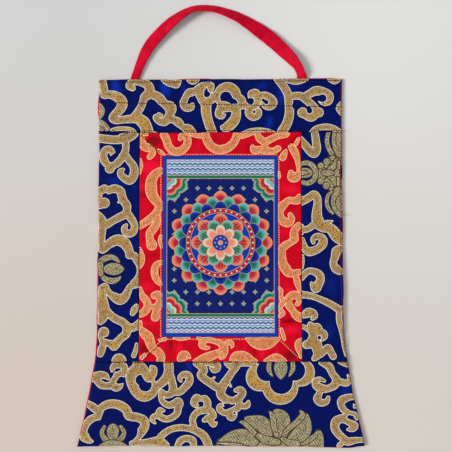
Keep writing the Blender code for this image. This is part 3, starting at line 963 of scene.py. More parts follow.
inner = rectangle(-HALF_PICTURE, HALF_PICTURE, PICTURE_HEAD, PICTURE_FOOT)
outer = rectangle(-HALF_BORDER, HALF_BORDER, BORDER_HEAD, BORDER_FOOT)
BORDER_TURN = 1.3
border_strips = (
    ("border_foot_strip", "border_foot", (outer[0], outer[1], inner[1], inner[0])),
    ("border_right_strip", "border_right", (inner[1], outer[1], outer[2], inner[2])),
    ("border_head_strip", "border_head", (inner[3], inner[2], outer[2], outer[3])),
    ("border_left_strip", "border_left", (outer[0], inner[0], inner[3], outer[3])),
)


def area_within(corners):
    """The area of a strip between its four corners."""
    following = (*corners[1:], corners[0])
    return abs(sum(b[0] * a[1] - a[0] * b[1] for a, b in zip(corners, following))) / 2


for number, (name, node, corners) in enumerate(border_strips):
    brocade_panel(
        name,
        node,
        corners,
        BORDER_THICK,
        BORDER_PUCKER,
        BORDER_TURN * number,
        (BORDER_SCROLLS, {}, {}, {}),
        red_satin,
        area=area_within(corners),
    )

# The blue bands are a heavier satin brocade with lotus scrolls in gold thread, outlined in cream.
# The side bands are sewn to the border first, then the head and foot bands right across, over their
# ends. The sides flare out below. The lines were placed on the photograph, as on the border.
BAND_THICK = 0.0017
BAND_PUCKER = 0.00014

HEAD_SCROLLS = {
    "corner stem": [(101.5, 80, 9), (103.5, 88, 8.5), (105, 95, 8)],
    "long wave": [(103.5, 95.5, 6), (109, 94.5, 8), (115, 95.8, 9.5), (120.5, 99.5, 10.5),
        (122.3, 104.5, 10.5), (119.5, 110, 9.5), (115, 114.5, 8.5), (112.8, 118.2, 8.2),
        (116, 120.3, 7.6), (123, 119.6, 7.6), (131, 118.8, 8.4), (138, 118.8, 10.5),
        (143, 122, 12.5), (146, 127, 12), (147.5, 133.5, 12.5)],
    "ringed curl": [(132.5, 88, 6.5), (129.5, 85.6, 8), (132.5, 81.5, 7), (140, 82.2, 7.5),
        (147, 84.5, 9), (149.8, 89.5, 9.5), (148, 94.5, 10), (144.5, 97, 8.5), (143.2, 101, 7.6),
        (141, 107, 7.6), (137.5, 112.5, 8), (135, 116.5, 9)],
    "second wave": [(150, 93, 8), (156, 96, 9.5), (160, 99, 10), (165, 104, 8.5),
        (170.3, 107.6, 12), (170.3, 112.5, 9.5), (168.5, 117.5, 9), (164.5, 122, 8),
        (159.5, 121, 7.5), (156, 117.5, 6.5), (158, 115, 5.5), (161.3, 115.8, 4)],
    "second tail": [(170, 119, 8), (174.5, 120, 7.5), (178.4, 122.4, 9), (183, 127, 6.5),
        (188.4, 129.6, 10.5), (193, 134, 8)],
    "edge scallop": [(163.5, 80.5, 5), (168, 82.5, 7), (173, 83.5, 8), (176.5, 84.5, 7.5),
        (178.5, 80.5, 6)],
    "edge bit": [(189, 80, 5), (193, 81.5, 6.5), (197, 79.8, 5)],
    "middle spiral": [(210.4, 91, 5), (210.4, 85.8, 8), (205, 84.6, 6), (200.6, 88, 9.5),
        (195, 91, 7), (189.6, 93, 9), (185.6, 97.6, 7), (183.8, 103.4, 8.5), (186.3, 107.6, 8),
        (191, 107.2, 7), (192.2, 104.2, 4)],
    "middle stem": [(198.5, 90, 10), (200.5, 96, 9), (203, 102, 8)],
    "arch left leg": [(206.1, 104.8, 10.5), (206.3, 113, 10), (208.5, 122, 9.5),
        (212.8, 133.8, 9.5)],
    "arch link": [(206.5, 103.5, 9.5), (210.5, 99.8, 9), (215.5, 96, 9)],
    "arch": [(227.5, 95.6, 27.2)],
    "arch shoulder": [(238.6, 101.5, 15)],
    "arch tail": [(235.5, 108, 9.5), (236.2, 114, 9.5), (234.5, 120, 10.5), (229, 126, 10.5),
        (224, 128.2, 7)],
    "arch bead": [(236.6, 117.8, 8)],
    "cloud link": [(241.5, 105.5, 8), (248, 105.5, 6.5), (254, 104.5, 6.5)],
    "cloud left": [(250.5, 97.8, 5), (251.5, 93.8, 7.5), (256, 93.3, 8.5), (257.5, 99, 8.5),
        (256.3, 104.5, 8)],
    "cloud right": [(258, 97.5, 8), (264.5, 95.8, 8.5), (270.5, 98.3, 8.5), (273.3, 102.8, 8.5),
        (270, 106.3, 8), (265.2, 105.5, 7), (262.8, 102.6, 4.5)],
    "cloud foot": [(255.5, 104.5, 7.5), (250, 108.5, 8), (249, 113.5, 8), (253, 117, 7.6),
        (257.8, 115.3, 7), (258.8, 111, 6), (256.3, 109.6, 3.5)],
    "long stem": [(278, 79.1, 8.5), (283.8, 86.6, 8.5), (288, 94.9, 8.5), (288.8, 103.2, 8.5),
        (289.5, 110, 9), (288.8, 117.3, 9.5), (286.3, 124.7, 9.5), (281.8, 131.8, 9.5)],
    "right branch": [(288.8, 97.4, 6), (294.6, 95.9, 7.5), (301.3, 96.3, 8), (307, 100.5, 8),
        (312, 105, 8), (315.5, 108, 7)],
    "right arch": [(304.6, 96, 7), (309.5, 93.8, 8), (316.2, 90.8, 9.5), (323.6, 92, 9),
        (329, 95.5, 9), (328.6, 100.5, 8.5), (325, 103, 6), (321.2, 101.6, 5), (319.2, 99.6, 3)],
    "right foot curl": [(302.6, 112.6, 10.5), (306.5, 115, 9), (311, 115.4, 12.5), (315, 114, 9),
        (318.8, 112.4, 9.8)],
    "edge garland": [(289, 79.5, 7), (295, 81, 7.5), (301, 80.5, 6.5), (306, 79, 5)],
    "edge right bit": [(330, 79.5, 5), (334.5, 81, 6.5), (338.5, 79.5, 5)],
    "side bit": [(341.5, 103.5, 5), (338.8, 108.3, 6), (341.5, 113, 5)],
    "flat arch": [(242.5, 134, 4.5), (250, 130.8, 4.5), (259, 129.8, 4.5), (268, 131, 4.5),
        (275, 134, 4.5)],
    "right flat arch": [(311.5, 133.5, 6), (316, 128.8, 6), (325, 126.8, 6.5), (333, 128, 6),
        (339, 131, 5), (343, 131.5, 4)],
    "seam bit": [(152, 133.5, 5), (157.5, 133.8, 3)],
    "ring top": [(112, 130, 3.5), (118, 128.8, 4.5), (126, 128.8, 4.5), (132, 130.5, 5),
        (135, 134, 5)],
}
HEAD_BAYS = {
    "curl": [(140.8, 92.5, 2.6)],
    "second wave foot": [(152.5, 104, 9), (154, 110, 9)],
    "spiral": [(188.2, 102.8, 2.2), (191.6, 99.6, 6.4)],
    "stem": [(207, 94.2, 6.4)],
    "arch": [(226, 97.4, 12.2), (229, 100.5, 9), (233.2, 103.2, 9)],
    "cloud left": [(250.6, 101.2, 7)],
    "cloud right": [(263, 99.8, 2.8), (266.4, 102.2, 4.4)],
    "right branch": [(296.5, 105.6, 9), (300, 105, 5)],
    "right arch": [(318.6, 98, 5), (322.6, 98.2, 8)],
    "right foot": [(309.2, 107, 3), (309.6, 110.6, 5.8)],
}
HEAD_CURLS = {
    "arch inner curl": [(236, 107.8, 8), (229, 108, 7.5), (222.5, 108.6, 7), (219.8, 105.2, 5.5),
        (223.5, 103.4, 4.6), (228.2, 104.4, 4)],
    "arch small curl": [(219.6, 110, 8), (219, 114.4, 8), (222, 116.8, 5), (224.4, 115, 3.2)],
    "arch hook": [(221.8, 126.8, 3.5), (224, 128, 5.5)],
}
HEAD_PETALS = {
    "side petal": [(98.5, 104, 5), (100.8, 109, 8), (100.8, 113, 8), (98.5, 118.5, 5)],
    "side tip": [(98.5, 121.5, 6), (102.5, 124.5, 8), (107, 128.6, 6.5)],
    "side low tip": [(98.5, 128, 5), (102, 129.6, 4.5)],
}
LEFT_SCROLLS = {
    "ring foot": [(98, 138, 8.5), (105, 139, 8.5), (114, 139.8, 8.5), (124, 139, 8.5),
        (131, 136.8, 8), (135.5, 134, 6)],
    "ring inside": [(120.5, 135.5, 3.5), (126, 134, 3.5), (131, 135.5, 3)],
    "stem": [(125.6, 143, 7.5), (125.8, 149, 7), (123.5, 156, 8)],
    "left hook": [(122.5, 156.5, 8), (119.5, 160.5, 8.5), (115.5, 163.8, 9), (109.5, 164.5, 9),
        (104.5, 160.5, 8.5), (103.3, 155, 8), (105.5, 150.2, 7.5), (109.5, 149.3, 7),
        (112.3, 152.5, 6), (112, 156, 3.5)],
    "left hook bead": [(110, 168.5, 10)],
    "right limb": [(125.5, 155.5, 8), (129.5, 161, 7.5), (133, 165.5, 8), (134.5, 171, 8.5),
        (133, 177, 9), (129.5, 180.5, 8.5), (124.5, 178.3, 7.5), (120.8, 174.5, 7),
        (120.5, 171.3, 5.5), (123.3, 169.5, 3.5)],
    "side edge": [(99.5, 191, 6), (99.8, 197, 5.5), (100, 203, 5)],
    "side edge top": [(101, 190.5, 8), (104.5, 188.8, 8.5)],
    "double wave": [(109, 190.3, 7.5), (115, 188.7, 8.5), (120.5, 191.2, 8.5), (121.8, 196, 8.6),
        (123.5, 200.5, 8.5), (126.8, 205.5, 8.3), (127, 210, 7.5), (126, 214, 8)],
    "spur": [(121, 201.5, 4), (118.3, 202.3, 2.2)],
    "small curl": [(99.5, 206, 6), (104.6, 203, 10.4)],
    "wave tail": [(126, 214, 8), (119, 217.5, 8), (112.5, 221, 7.5), (107, 224.5, 8)],
    "wave curl": [(127.5, 213.5, 8), (130, 217, 8), (133, 221.5, 7.5), (134.7, 226.5, 7.2),
        (133.3, 231.5, 7.5), (129.5, 233.8, 7.5), (125.3, 231.8, 7), (124.3, 228, 6),
        (126.2, 225.3, 3.8)],
    "side limb": [(99, 213, 3), (100.5, 217, 7), (102.5, 222, 9), (102.3, 229, 8),
        (101.5, 237, 7.5), (101.5, 243, 7.5), (102.5, 248, 8)],
    "medallion top": [(102.5, 249, 9), (107.5, 245.5, 9), (113, 241.5, 10), (118.5, 240, 11),
        (124.5, 243, 11), (128, 248.5, 9.5), (129.5, 254.5, 9)],
    "medallion shoulder": [(129, 254, 8), (134, 256, 8), (138.5, 259.5, 8)],
    "medallion side": [(136.5, 260, 7), (139, 266, 6), (139.3, 273, 5.5), (137.5, 279, 7),
        (134, 283.5, 8)],
    "medallion foot": [(136, 284.5, 7.5), (130.5, 286.5, 6.5), (127.8, 291.5, 7.5), (125, 296.5, 9),
        (120, 299.5, 10.5), (114.5, 297, 9), (109.5, 291.8, 8), (104.5, 287, 8)],
    "side ribbon": [(102.5, 288, 8), (102.2, 296, 9), (102.8, 303, 11), (103.4, 310, 12.4),
        (102.8, 317, 10), (100.5, 322, 6)],
    "foot branch": [(107.5, 311, 7), (111, 315.5, 7.8), (116.5, 319.3, 8), (122.5, 322, 8),
        (126.5, 326, 8.5)],
    "foot arm": [(127, 327, 9), (132, 327.8, 8), (137, 325.5, 8), (140, 322, 7)],
    "foot wave": [(127, 329, 9), (126, 334, 8.5), (121.5, 337.8, 8), (118.3, 341, 8),
        (114.5, 344.8, 9.5), (109.5, 343.5, 7), (105, 342, 6.5)],
    "foot bead": [(114, 345.5, 10)],
    "foot curl": [(102.5, 341, 6.5), (101, 336, 6), (103.8, 332.2, 10.4)],
    "edge lobe": [(103, 344.5, 6), (101.8, 349, 8), (100.3, 354, 6.5)],
    "leaf": [(136.5, 306, 4.5), (134.5, 309.5, 7), (132.5, 313.5, 5)],
    "seam sliver": [(136.5, 344, 3), (135.8, 350, 4.5), (133.8, 355.5, 5)],
    "cap": [(119, 361, 14.6)],
}
LEFT_BAYS = {
    "left hook": [(111.6, 159.2, 6.4), (116.4, 155, 5)],
    "small curl": [(103.6, 196.4, 2.6), (106.6, 196, 3)],
    "medallion head": [(116, 256, 19)],
    "medallion middle": [(126.4, 270.3, 21)],
    "medallion foot": [(117.4, 284.4, 17)],
    "medallion heart": [(108, 270, 20)],
    "foot curl": [(104.6, 337.8, 1.8), (108, 338, 3)],
}
LEFT_PETALS = {
    "upper petal": [(101, 261, 6.5), (105, 258.5, 7), (111, 257, 6), (116, 259, 5), (119, 262, 3)],
    "lower petal": [(101.5, 275.5, 5), (106, 279.5, 6.5), (112, 281, 7), (117.5, 279.5, 5),
        (120.5, 276.8, 2.5)],
    "side petal": [(100.5, 264, 6), (101, 269, 6), (101, 274, 5.5)],
    "bud": [(105.5, 269, 5), (109, 269, 10.5), (114, 269, 13), (118.5, 269, 10), (122.5, 269, 4)],
}
RIGHT_SCROLLS = {
    "head bowl": [(300, 139, 7), (305.5, 145.5, 8), (310.5, 151.5, 8.5), (314.3, 153.5, 8.5),
        (316.8, 149, 8.5), (316, 141.5, 8), (315, 134, 7.5)],
    "ribbon": [(301.7, 201.1, 8.5), (306.8, 198.9, 8), (311.3, 196, 8), (314.4, 194.8, 8.5),
        (317.3, 198.3, 8), (317.6, 204.6, 8.2), (317, 211, 9.5), (317, 217.4, 11),
        (318.9, 223.1, 12), (323.4, 227, 10.5), (328.5, 227.6, 10), (332.9, 230.8, 11),
        (336.1, 235.3, 12), (340, 239, 11)],
    "ribbon spur": [(327, 222.5, 5), (332.4, 221, 2)],
    "ribbon branch": [(301.7, 228.9, 6.5), (305.5, 229.5, 6.5), (309.3, 228.2, 6.5),
        (313.2, 225.1, 7)],
    "ribbon branch spurs": [(301.7, 225.1, 3), (302.4, 229, 5), (302, 233.6, 3)],
    "curl": [(302.6, 239.1, 4), (303.6, 243.5, 5.5), (305.2, 248.6, 7.5), (308.7, 251.5, 9),
        (313.2, 251, 8.5), (318.3, 248.6, 8), (322.4, 244.2, 9), (323.2, 240, 8.5),
        (320.8, 237.2, 7.5), (316.4, 236.5, 6.5), (313.2, 239.1, 5.5), (313.4, 242.3, 4)],
    "edge hook": [(340.5, 248, 6), (336.6, 251.2, 9.6), (335, 257, 8), (333.8, 263, 8.6),
        (335.8, 268.5, 9), (340, 271.5, 7)],
    "second curl": [(302.3, 278, 5), (303.3, 275.3, 6.5), (306.8, 272.1, 6.5), (310.6, 270.8, 6.5),
        (315.7, 272.3, 7.5), (319.5, 275.3, 8.5), (320.5, 279.8, 8), (318.3, 284.2, 9),
        (315.7, 288.1, 9.5), (313.2, 285.5, 6), (311.3, 283, 3)],
    "seam bit": [(302.3, 256, 3.5), (302.6, 262, 4), (302, 268, 3)],
    "long arm": [(302.4, 294.6, 7), (308.7, 295.4, 6.8), (314.4, 297, 6.2), (320.8, 299.5, 6.4),
        (327.2, 302.4, 6.8), (333.6, 305.9, 7), (339.3, 309.5, 7.5), (342.5, 308, 4)],
    "side limb": [(339.3, 310, 6), (338.9, 317.4, 6), (339.5, 322.5, 6), (340.8, 328.2, 5),
        (342.1, 334, 4.5), (343.3, 339.7, 4.5), (344.6, 346.5, 5), (346.4, 355, 4)],
    "cap": [(304.2, 315.5, 5.5), (308, 312.8, 9.5), (313.2, 312.8, 7), (314.8, 316.1, 6),
        (312.5, 318.7, 4)],
    "cloud head": [(310.4, 324.6, 6), (311.8, 329.5, 10), (316.9, 328.2, 10), (318.5, 332.1, 9.5),
        (323.2, 334, 8.5), (324, 337, 6.5), (322, 339.3, 4)],
    "cloud stem": [(312.4, 329, 9), (313.2, 335, 9), (313.2, 341, 12), (316, 344.5, 11.5),
        (317.6, 350, 10.5), (317, 355, 9), (314, 358.8, 5)],
    "cloud left": [(312, 343, 10), (306.6, 344.6, 8.4)],
    "cloud left ring": [(303, 326.6, 4.5), (306, 328, 5), (309, 330.5, 5)],
    "cloud right": [(321, 354, 7), (325.5, 349.5, 7), (328.4, 348.4, 8), (331.6, 353.4, 7),
        (333.2, 356.4, 7)],
}
RIGHT_BAYS = {
    "edge hook": [(340.2, 262.4, 6.4)],
    "cap": [(308.4, 319.4, 3.6)],
    "cloud neck": [(304.4, 335.4, 8.8)],
    "cloud foot": [(308.6, 353.4, 9.4)],
    "cloud head": [(319.4, 337.6, 3.6)],
    "cloud right": [(327, 358, 5.4)],
}
RIGHT_PETALS = {
    "medallion back": [(339, 150, 8), (337, 158, 14), (333, 165, 18), (329, 172.5, 20),
        (333, 180, 18), (337, 188, 13), (339, 194, 8)],
    "medallion neck": [(321, 170.5, 10), (321, 176, 10)],
    "lobe a": [(332.4, 157.6, 6)],
    "lobe b": [(326.8, 161.6, 7.4)],
    "lobe c": [(320.8, 165.6, 7)],
    "lobe d": [(320.8, 181.2, 7)],
    "lobe e": [(326.4, 185.8, 7.6)],
    "lobe f": [(332, 190, 6.6)],
    "heart upper": [(329, 169.5, 5), (334, 166, 6), (337, 160, 5)],
    "heart lower": [(329, 176, 5), (334, 179.5, 6), (337, 186, 5)],
    "heart": [(323, 172.8, 5), (328, 172.8, 7), (333, 172.8, 4)],
    "pale bar head": [(338.8, 162, 3.8), (338.8, 168, 3.8)],
    "pale bar foot": [(338.2, 178, 3.6), (338.2, 185, 3.6)],
    "medallion head leaf": [(337.8, 131, 11), (337.4, 140, 12), (338, 147, 11), (339.6, 154, 8)],
    "medallion head heart": [(340.4, 131, 6), (339.8, 140, 8.5), (341, 149, 5)],
    "medallion head rim": [(328.6, 132, 4.8), (327, 140, 5), (328.3, 147, 5.4), (331.4, 153, 5.6)],
    "medallion foot leaf": [(338.2, 191, 9), (336.8, 197, 11), (336.6, 203, 12), (338, 209, 10),
        (340.8, 215.5, 5)],
    "medallion foot heart": [(341, 196, 4), (339.6, 203, 8.5), (341.4, 210, 4)],
    "medallion foot rim": [(332, 191.8, 3.5), (328, 195.6, 4.4), (326.8, 202, 4.6),
        (328.6, 208.5, 4.6), (333, 213.5, 3)],
    "bud ring": [(301.6, 163.6, 5), (307, 162.8, 5.6), (312, 165, 6), (314.8, 169, 6),
        (315.4, 173, 6), (314.8, 177.6, 6), (312, 181.4, 6), (307, 183.2, 5.6), (301.6, 182, 5)],
    "bud leaf": [(301.6, 172.8, 10.5), (306.5, 172.8, 10.6), (310, 172.9, 6), (312.3, 173, 2)],
    "bud heart": [(301.4, 172.8, 5.6), (305, 172.8, 5), (307.6, 172.9, 2.4)],
}
FOOT_SCROLLS = {
    "stem cap": [(118.8, 357.7, 12), (118.8, 362.4, 8)],
    "stem ring": [(112.1, 371, 3), (113, 367.2, 6), (116.5, 364.8, 7), (122.6, 365.3, 7.5),
        (125, 370.1, 6.5), (121.7, 373.9, 8), (116.9, 374.9, 7)],
    "cloud top": [(94, 377.4, 9.5), (99.7, 375.2, 8), (105.2, 375.6, 6.6), (108.3, 379, 3)],
    "cloud foot": [(97.4, 381, 7), (101, 384.6, 7.6), (105.6, 385.8, 7), (111, 385.2, 7),
        (114, 379.7, 6), (116.9, 375.8, 6)],
    "cloud tip": [(112.5, 386, 6), (116, 387.5, 8), (120.2, 386.5, 5), (122.3, 383.5, 2.5)],
    "big ring upper lobe": [(139.4, 378.6, 24.6)],
    "big ring lower lobe": [(144.6, 388, 25.6)],
    "big ring": [(137, 361, 9), (136.5, 366.3, 8), (131.2, 371, 7), (129.3, 377.7, 7.5),
        (132.2, 385.4, 9), (136, 391.6, 9.5), (140.8, 395.9, 9.5), (146.5, 396.4, 9.5),
        (152.3, 393, 9), (155.6, 387.3, 8), (160.9, 383.5, 8.5), (166.6, 377.7, 9.5),
        (168.8, 371, 9.5), (168.3, 362, 9.5)],
    "big ring shoulder": [(137, 372, 8), (141, 369.5, 8)],
    "scroll top": [(170.4, 375, 7), (172.8, 385.4, 8), (172.4, 392.1, 8), (166.6, 395, 6.5),
        (161.8, 391.3, 4.5)],
    "scroll bend": [(161, 391.5, 4.5), (160.9, 395.9, 5.5), (162.8, 401.7, 6), (168.5, 405.2, 6.5),
        (174.3, 403.6, 7.5), (178.1, 401, 7), (180.5, 403.6, 6), (178.1, 407.4, 7.5),
        (177.1, 413.1, 7), (171.4, 417.9, 6.5), (164.7, 418.9, 6.5), (159, 415.1, 7),
        (159.9, 409.8, 5), (163.8, 410.8, 3)],
    "scroll tail": [(159, 415.5, 5), (154.2, 416.5, 6), (152.3, 419.8, 5), (155.1, 423.2, 2.5)],
    "scroll hook": [(172, 391, 7), (179.1, 392.1, 7), (184.8, 387.3, 7.5), (189.2, 381.6, 8),
        (188.6, 375.8, 7.5), (183.8, 374.4, 6.5), (180, 377.7, 5), (181, 381.1, 3)],
    "arch spur": [(88, 403.5, 6), (93, 407, 8), (98, 411, 7)],
    "trefoil arch": [(92, 421.5, 6), (97.7, 416.5, 8), (100.6, 408.9, 7.5), (106.4, 404.8, 8),
        (113, 403.8, 8.5), (120.7, 405.6, 9), (126.4, 410, 9), (129.3, 416, 9), (137, 417.3, 8.5),
        (143.7, 420.5, 9), (144.6, 426.2, 9), (140.8, 432.3, 9), (135.1, 438, 9), (132.2, 443, 6)],
    "arch left side": [(97, 417, 7), (90.6, 419, 7), (86, 425, 7), (84, 431, 7), (84.4, 436.6, 9),
        (89.8, 438, 10.4)],
    "base stem": [(133.1, 442.8, 7), (142.7, 442.6, 6), (152.3, 441.8, 8), (159, 441.8, 10),
        (166.5, 445, 6)],
    "base arc": [(160.9, 436.5, 7), (166.6, 431.6, 6.5), (173.3, 428.6, 6.5), (181, 427.6, 6.5),
        (188.6, 428.4, 6.5), (196.3, 430.8, 7.5), (203, 435.1, 8), (206.8, 440.9, 8.5),
        (208.9, 447, 8)],
    "base small arc": [(177.5, 446, 6), (180.5, 440.9, 7), (186.7, 438.4, 6.5), (192.5, 440.5, 7.5),
        (193.6, 446, 6)],
    "upright": [(194.5, 428, 6), (192.5, 420.5, 6.5), (194.4, 415.1, 6.5), (199.1, 411.2, 7),
        (205.8, 409.3, 7.5), (207.6, 403.6, 7.5), (204.9, 398.8, 7), (201.1, 398.8, 5),
        (196.6, 398.2, 8), (193.8, 402.6, 7), (196.3, 405.5, 5)],
    "upright branch": [(205, 409.5, 7), (210.6, 411.2, 7), (213.2, 416, 7), (207.8, 418.2, 6.5),
        (204.2, 420.2, 4.5)],
    "upright foot": [(208, 419, 6), (210.6, 421, 6), (213.5, 424.6, 5.5), (216.4, 422.7, 2.5)],
    "twin stem": [(196, 363.5, 6), (201, 366.3, 8), (203.9, 370.5, 8), (200.6, 374.9, 7.5),
        (204.5, 379, 8), (209.8, 382.5, 8), (214.5, 385.9, 8), (219.5, 388.5, 8)],
    "twin spur": [(211.5, 380, 3.5), (214.6, 377.3, 2)],
    "twin head": [(196, 362.5, 4), (206, 363, 5), (215.2, 363.6, 8), (217.6, 368, 6.5),
        (214.1, 370.3, 5.5), (210.6, 367.7, 3)],
    "tall stem": [(237, 363, 8), (235.5, 367.3, 8), (231.4, 372.8, 7.5), (227.1, 379.3, 8),
        (222.7, 386, 9), (220.6, 393.4, 9), (224.9, 398.8, 8.5), (232.5, 400.6, 7),
        (239, 397.7, 7.5), (242.6, 393.2, 7.5), (240.1, 389.8, 7), (235.6, 390.4, 4)],
    "tall stem spur": [(229, 383.5, 3), (231, 386.5, 2)],
    "tall stem head": [(225.5, 362.5, 4), (229.5, 366, 5), (235, 364.5, 6), (245, 363.5, 5.5),
        (254, 363.8, 6)],
    "tail": [(239, 400, 7), (237.9, 407.5, 7), (231.4, 410.9, 6), (224.9, 412.9, 6),
        (219.6, 409.4, 6.5), (220.4, 405.6, 5), (224.2, 405, 2.5)],
    "tail hook": [(240, 404.5, 5.5), (243.8, 406.4, 6), (247.5, 405, 6), (248.4, 401.5, 3)],
    "tail lobe": [(229.5, 413.5, 7), (231.6, 416.2, 9.5), (235.4, 413.6, 4)],
    "quatrefoil left": [(259.6, 377.4, 27.2)],
    "quatrefoil foot": [(280.3, 386.4, 35.8)],
    "quatrefoil right": [(301, 372.5, 27.4)],
    "right stem": [(321.5, 362.4, 6), (329, 366.5, 8), (332.3, 373.4, 7), (336, 378.8, 8),
        (334.8, 385, 8), (327.9, 388.6, 7), (321.8, 388.3, 8.5), (316.4, 385.6, 8),
        (315.4, 381.2, 6), (320, 379.2, 5), (324.5, 381.1, 3)],
    "right stem foot": [(320.8, 390, 6), (319, 394.4, 6.5), (317.3, 398.8, 8), (320.8, 402.6, 7.5),
        (326.2, 401.8, 6), (328.2, 397.7, 4)],
    "right edge hook": [(337, 380, 6), (342, 382.2, 7), (347.3, 383, 6), (349.3, 379.3, 4),
        (347.7, 375, 2)],
    "right head bit": [(340, 361.5, 5), (344.4, 362.6, 7), (348.5, 365.2, 5)],
    "edge ring top": [(354, 396.6, 6), (347.4, 397.6, 7), (342, 400.4, 8.4), (341, 405, 7),
        (344, 410, 6.5), (349.6, 412.9, 4.4), (354.6, 414, 4.4), (356.8, 418.4, 3.6)],
    "edge ring bit": [(352, 404, 2.4), (355, 406.6, 4)],
    "edge ring foot": [(346, 415, 4), (341, 418.6, 8), (336, 421.4, 9), (334.9, 427.6, 8.6),
        (338, 433.4, 8), (343, 438, 7.4), (347.5, 441.4, 8), (356.1, 440, 6), (363.6, 439.8, 5)],
    "edge ring tail": [(344, 441, 6), (339, 445.6, 5)],
    "edge curl": [(343, 419.4, 6.5), (349, 422.4, 6), (354, 425.8, 8.6), (351.6, 429.2, 5.6),
        (347.6, 429.4, 2.6)],
}
FOOT_BAYS = {
    "ring hole": [(117.2, 370, 3.6)],
    "stem bay": [(121.4, 380, 6.8)],
    "big ring upper": [(140.9, 380, 10.6)],
    "big ring lower": [(145.2, 385, 13)],
    "big ring side": [(158, 372.6, 6)],
    "trefoil head": [(112.6, 420.4, 22.8)],
    "trefoil right": [(127.2, 431, 20.8)],
    "trefoil left": [(99.4, 431, 21.4)],
    "trefoil heart": [(113, 436, 30)],
    "quatrefoil left": [(266.8, 371, 20.4)],
    "quatrefoil foot": [(281.2, 382.4, 23)],
    "quatrefoil right": [(295.2, 370.6, 20)],
    "quatrefoil heart": [(281, 366, 26)],
    "tail": [(224.6, 404.6, 2), (229, 404.8, 3)],
    "tail lobe": [(234.6, 413, 2.4)],
    "edge ring": [(349.4, 405.4, 7.6)],
    "edge ring gap": [(349.4, 416.6, 3.6), (352, 417.4, 3)],
}
FOOT_CURLS = {
    "big ring curl": [(138, 363, 7), (142.6, 367, 7.5), (145.8, 373, 9), (149, 377.6, 9.4),
        (152.4, 374.6, 8), (153.6, 369.6, 7.4), (151.6, 367.4, 4.6)],
}
FOOT_PETALS = {
    "small bud left": [(104.4, 426.5, 4), (102, 432.3, 5), (104.4, 438, 6), (108.3, 441.8, 7)],
    "small bud right": [(120.7, 426.5, 4), (124.1, 432.3, 5), (121.7, 438, 6), (116.9, 441.8, 7)],
    "small bud": [(113, 424.5, 3), (113, 429.8, 12), (113, 434.2, 11), (113, 439.9, 6)],
    "small bud base": [(101, 445.6, 4), (107, 443.6, 6), (113, 443.2, 7), (119, 443.6, 6),
        (125, 445.6, 4)],
    "hanging bud left": [(269.4, 362.5, 5), (268.8, 368.6, 5.5), (270.4, 373, 4),
        (272.8, 376.5, 2)],
    "hanging bud right": [(292.6, 362.5, 5), (293, 368.6, 5.5), (291, 373, 4), (288.9, 376.5, 2)],
    "hanging bud": [(280.8, 361.5, 9), (280.8, 367.4, 14), (280.8, 372.4, 11), (280.8, 379, 2)],
    "stray tip": [(217.5, 446, 4), (219.2, 440.5, 4)],
    "lotus foot": [(238, 446, 5), (249, 445, 10), (262, 444, 11), (280, 443.5, 12),
        (300, 444.5, 11), (318, 446, 8)],
    "lotus heart": [(254, 429, 8), (256, 435, 11), (264, 434, 14), (274, 431, 18), (284, 433, 18),
        (294, 434, 15), (301, 438, 10), (312, 441.5, 6)],
    "lotus far right": [(318.2, 429.5, 1.5), (319.3, 434, 7), (318.5, 439.5, 11), (316.5, 446, 15)],
    "lotus far right rim": [(317.6, 430, 2), (314.5, 436, 5), (307, 440.8, 6.5), (297, 442.8, 7)],
    "lotus left petal": [(217, 442.8, 2), (226, 438.8, 8), (235, 436.5, 13), (244, 436.8, 15.5),
        (253, 440.5, 12)],
    "lotus left rim": [(217, 443.2, 2), (227, 443.8, 3.5), (241, 445.4, 4)],
    "lotus second petal": [(247, 419, 6), (252.5, 421.3, 12), (261.5, 423.5, 15.5), (266, 430, 13),
        (268, 437, 9)],
    "lotus second rim": [(239, 421.8, 1.5), (244, 423, 5), (250, 428.5, 5.5), (256, 435, 5.5),
        (262, 440, 5)],
    "lotus right petal": [(304.5, 417.5, 10), (304.5, 423, 14), (303.5, 430, 16), (298, 436, 15),
        (291, 441.5, 11)],
    "lotus centre petal": [(277, 413, 9), (280.5, 417, 15), (281.5, 421.5, 18), (281, 428, 15),
        (279, 436, 8)],
    "lotus centre rim": [(269, 411, 1.5), (272, 415, 5.5), (273.5, 421, 6.5), (274, 427, 6),
        (276.5, 435, 5)],
    "lotus curled rim": [(299.8, 410.5, 2), (302.5, 414.5, 6), (299, 420, 6.5), (292.5, 425.5, 6),
        (286.5, 431, 5.5), (283.5, 437.5, 5)],
    "lotus base left": [(258.8, 436, 6), (264.5, 439.5, 8), (271, 441, 8), (278, 442, 6)],
    "lotus base right": [(282, 438.5, 4), (288.5, 442.4, 7), (297, 443.8, 7)],
}

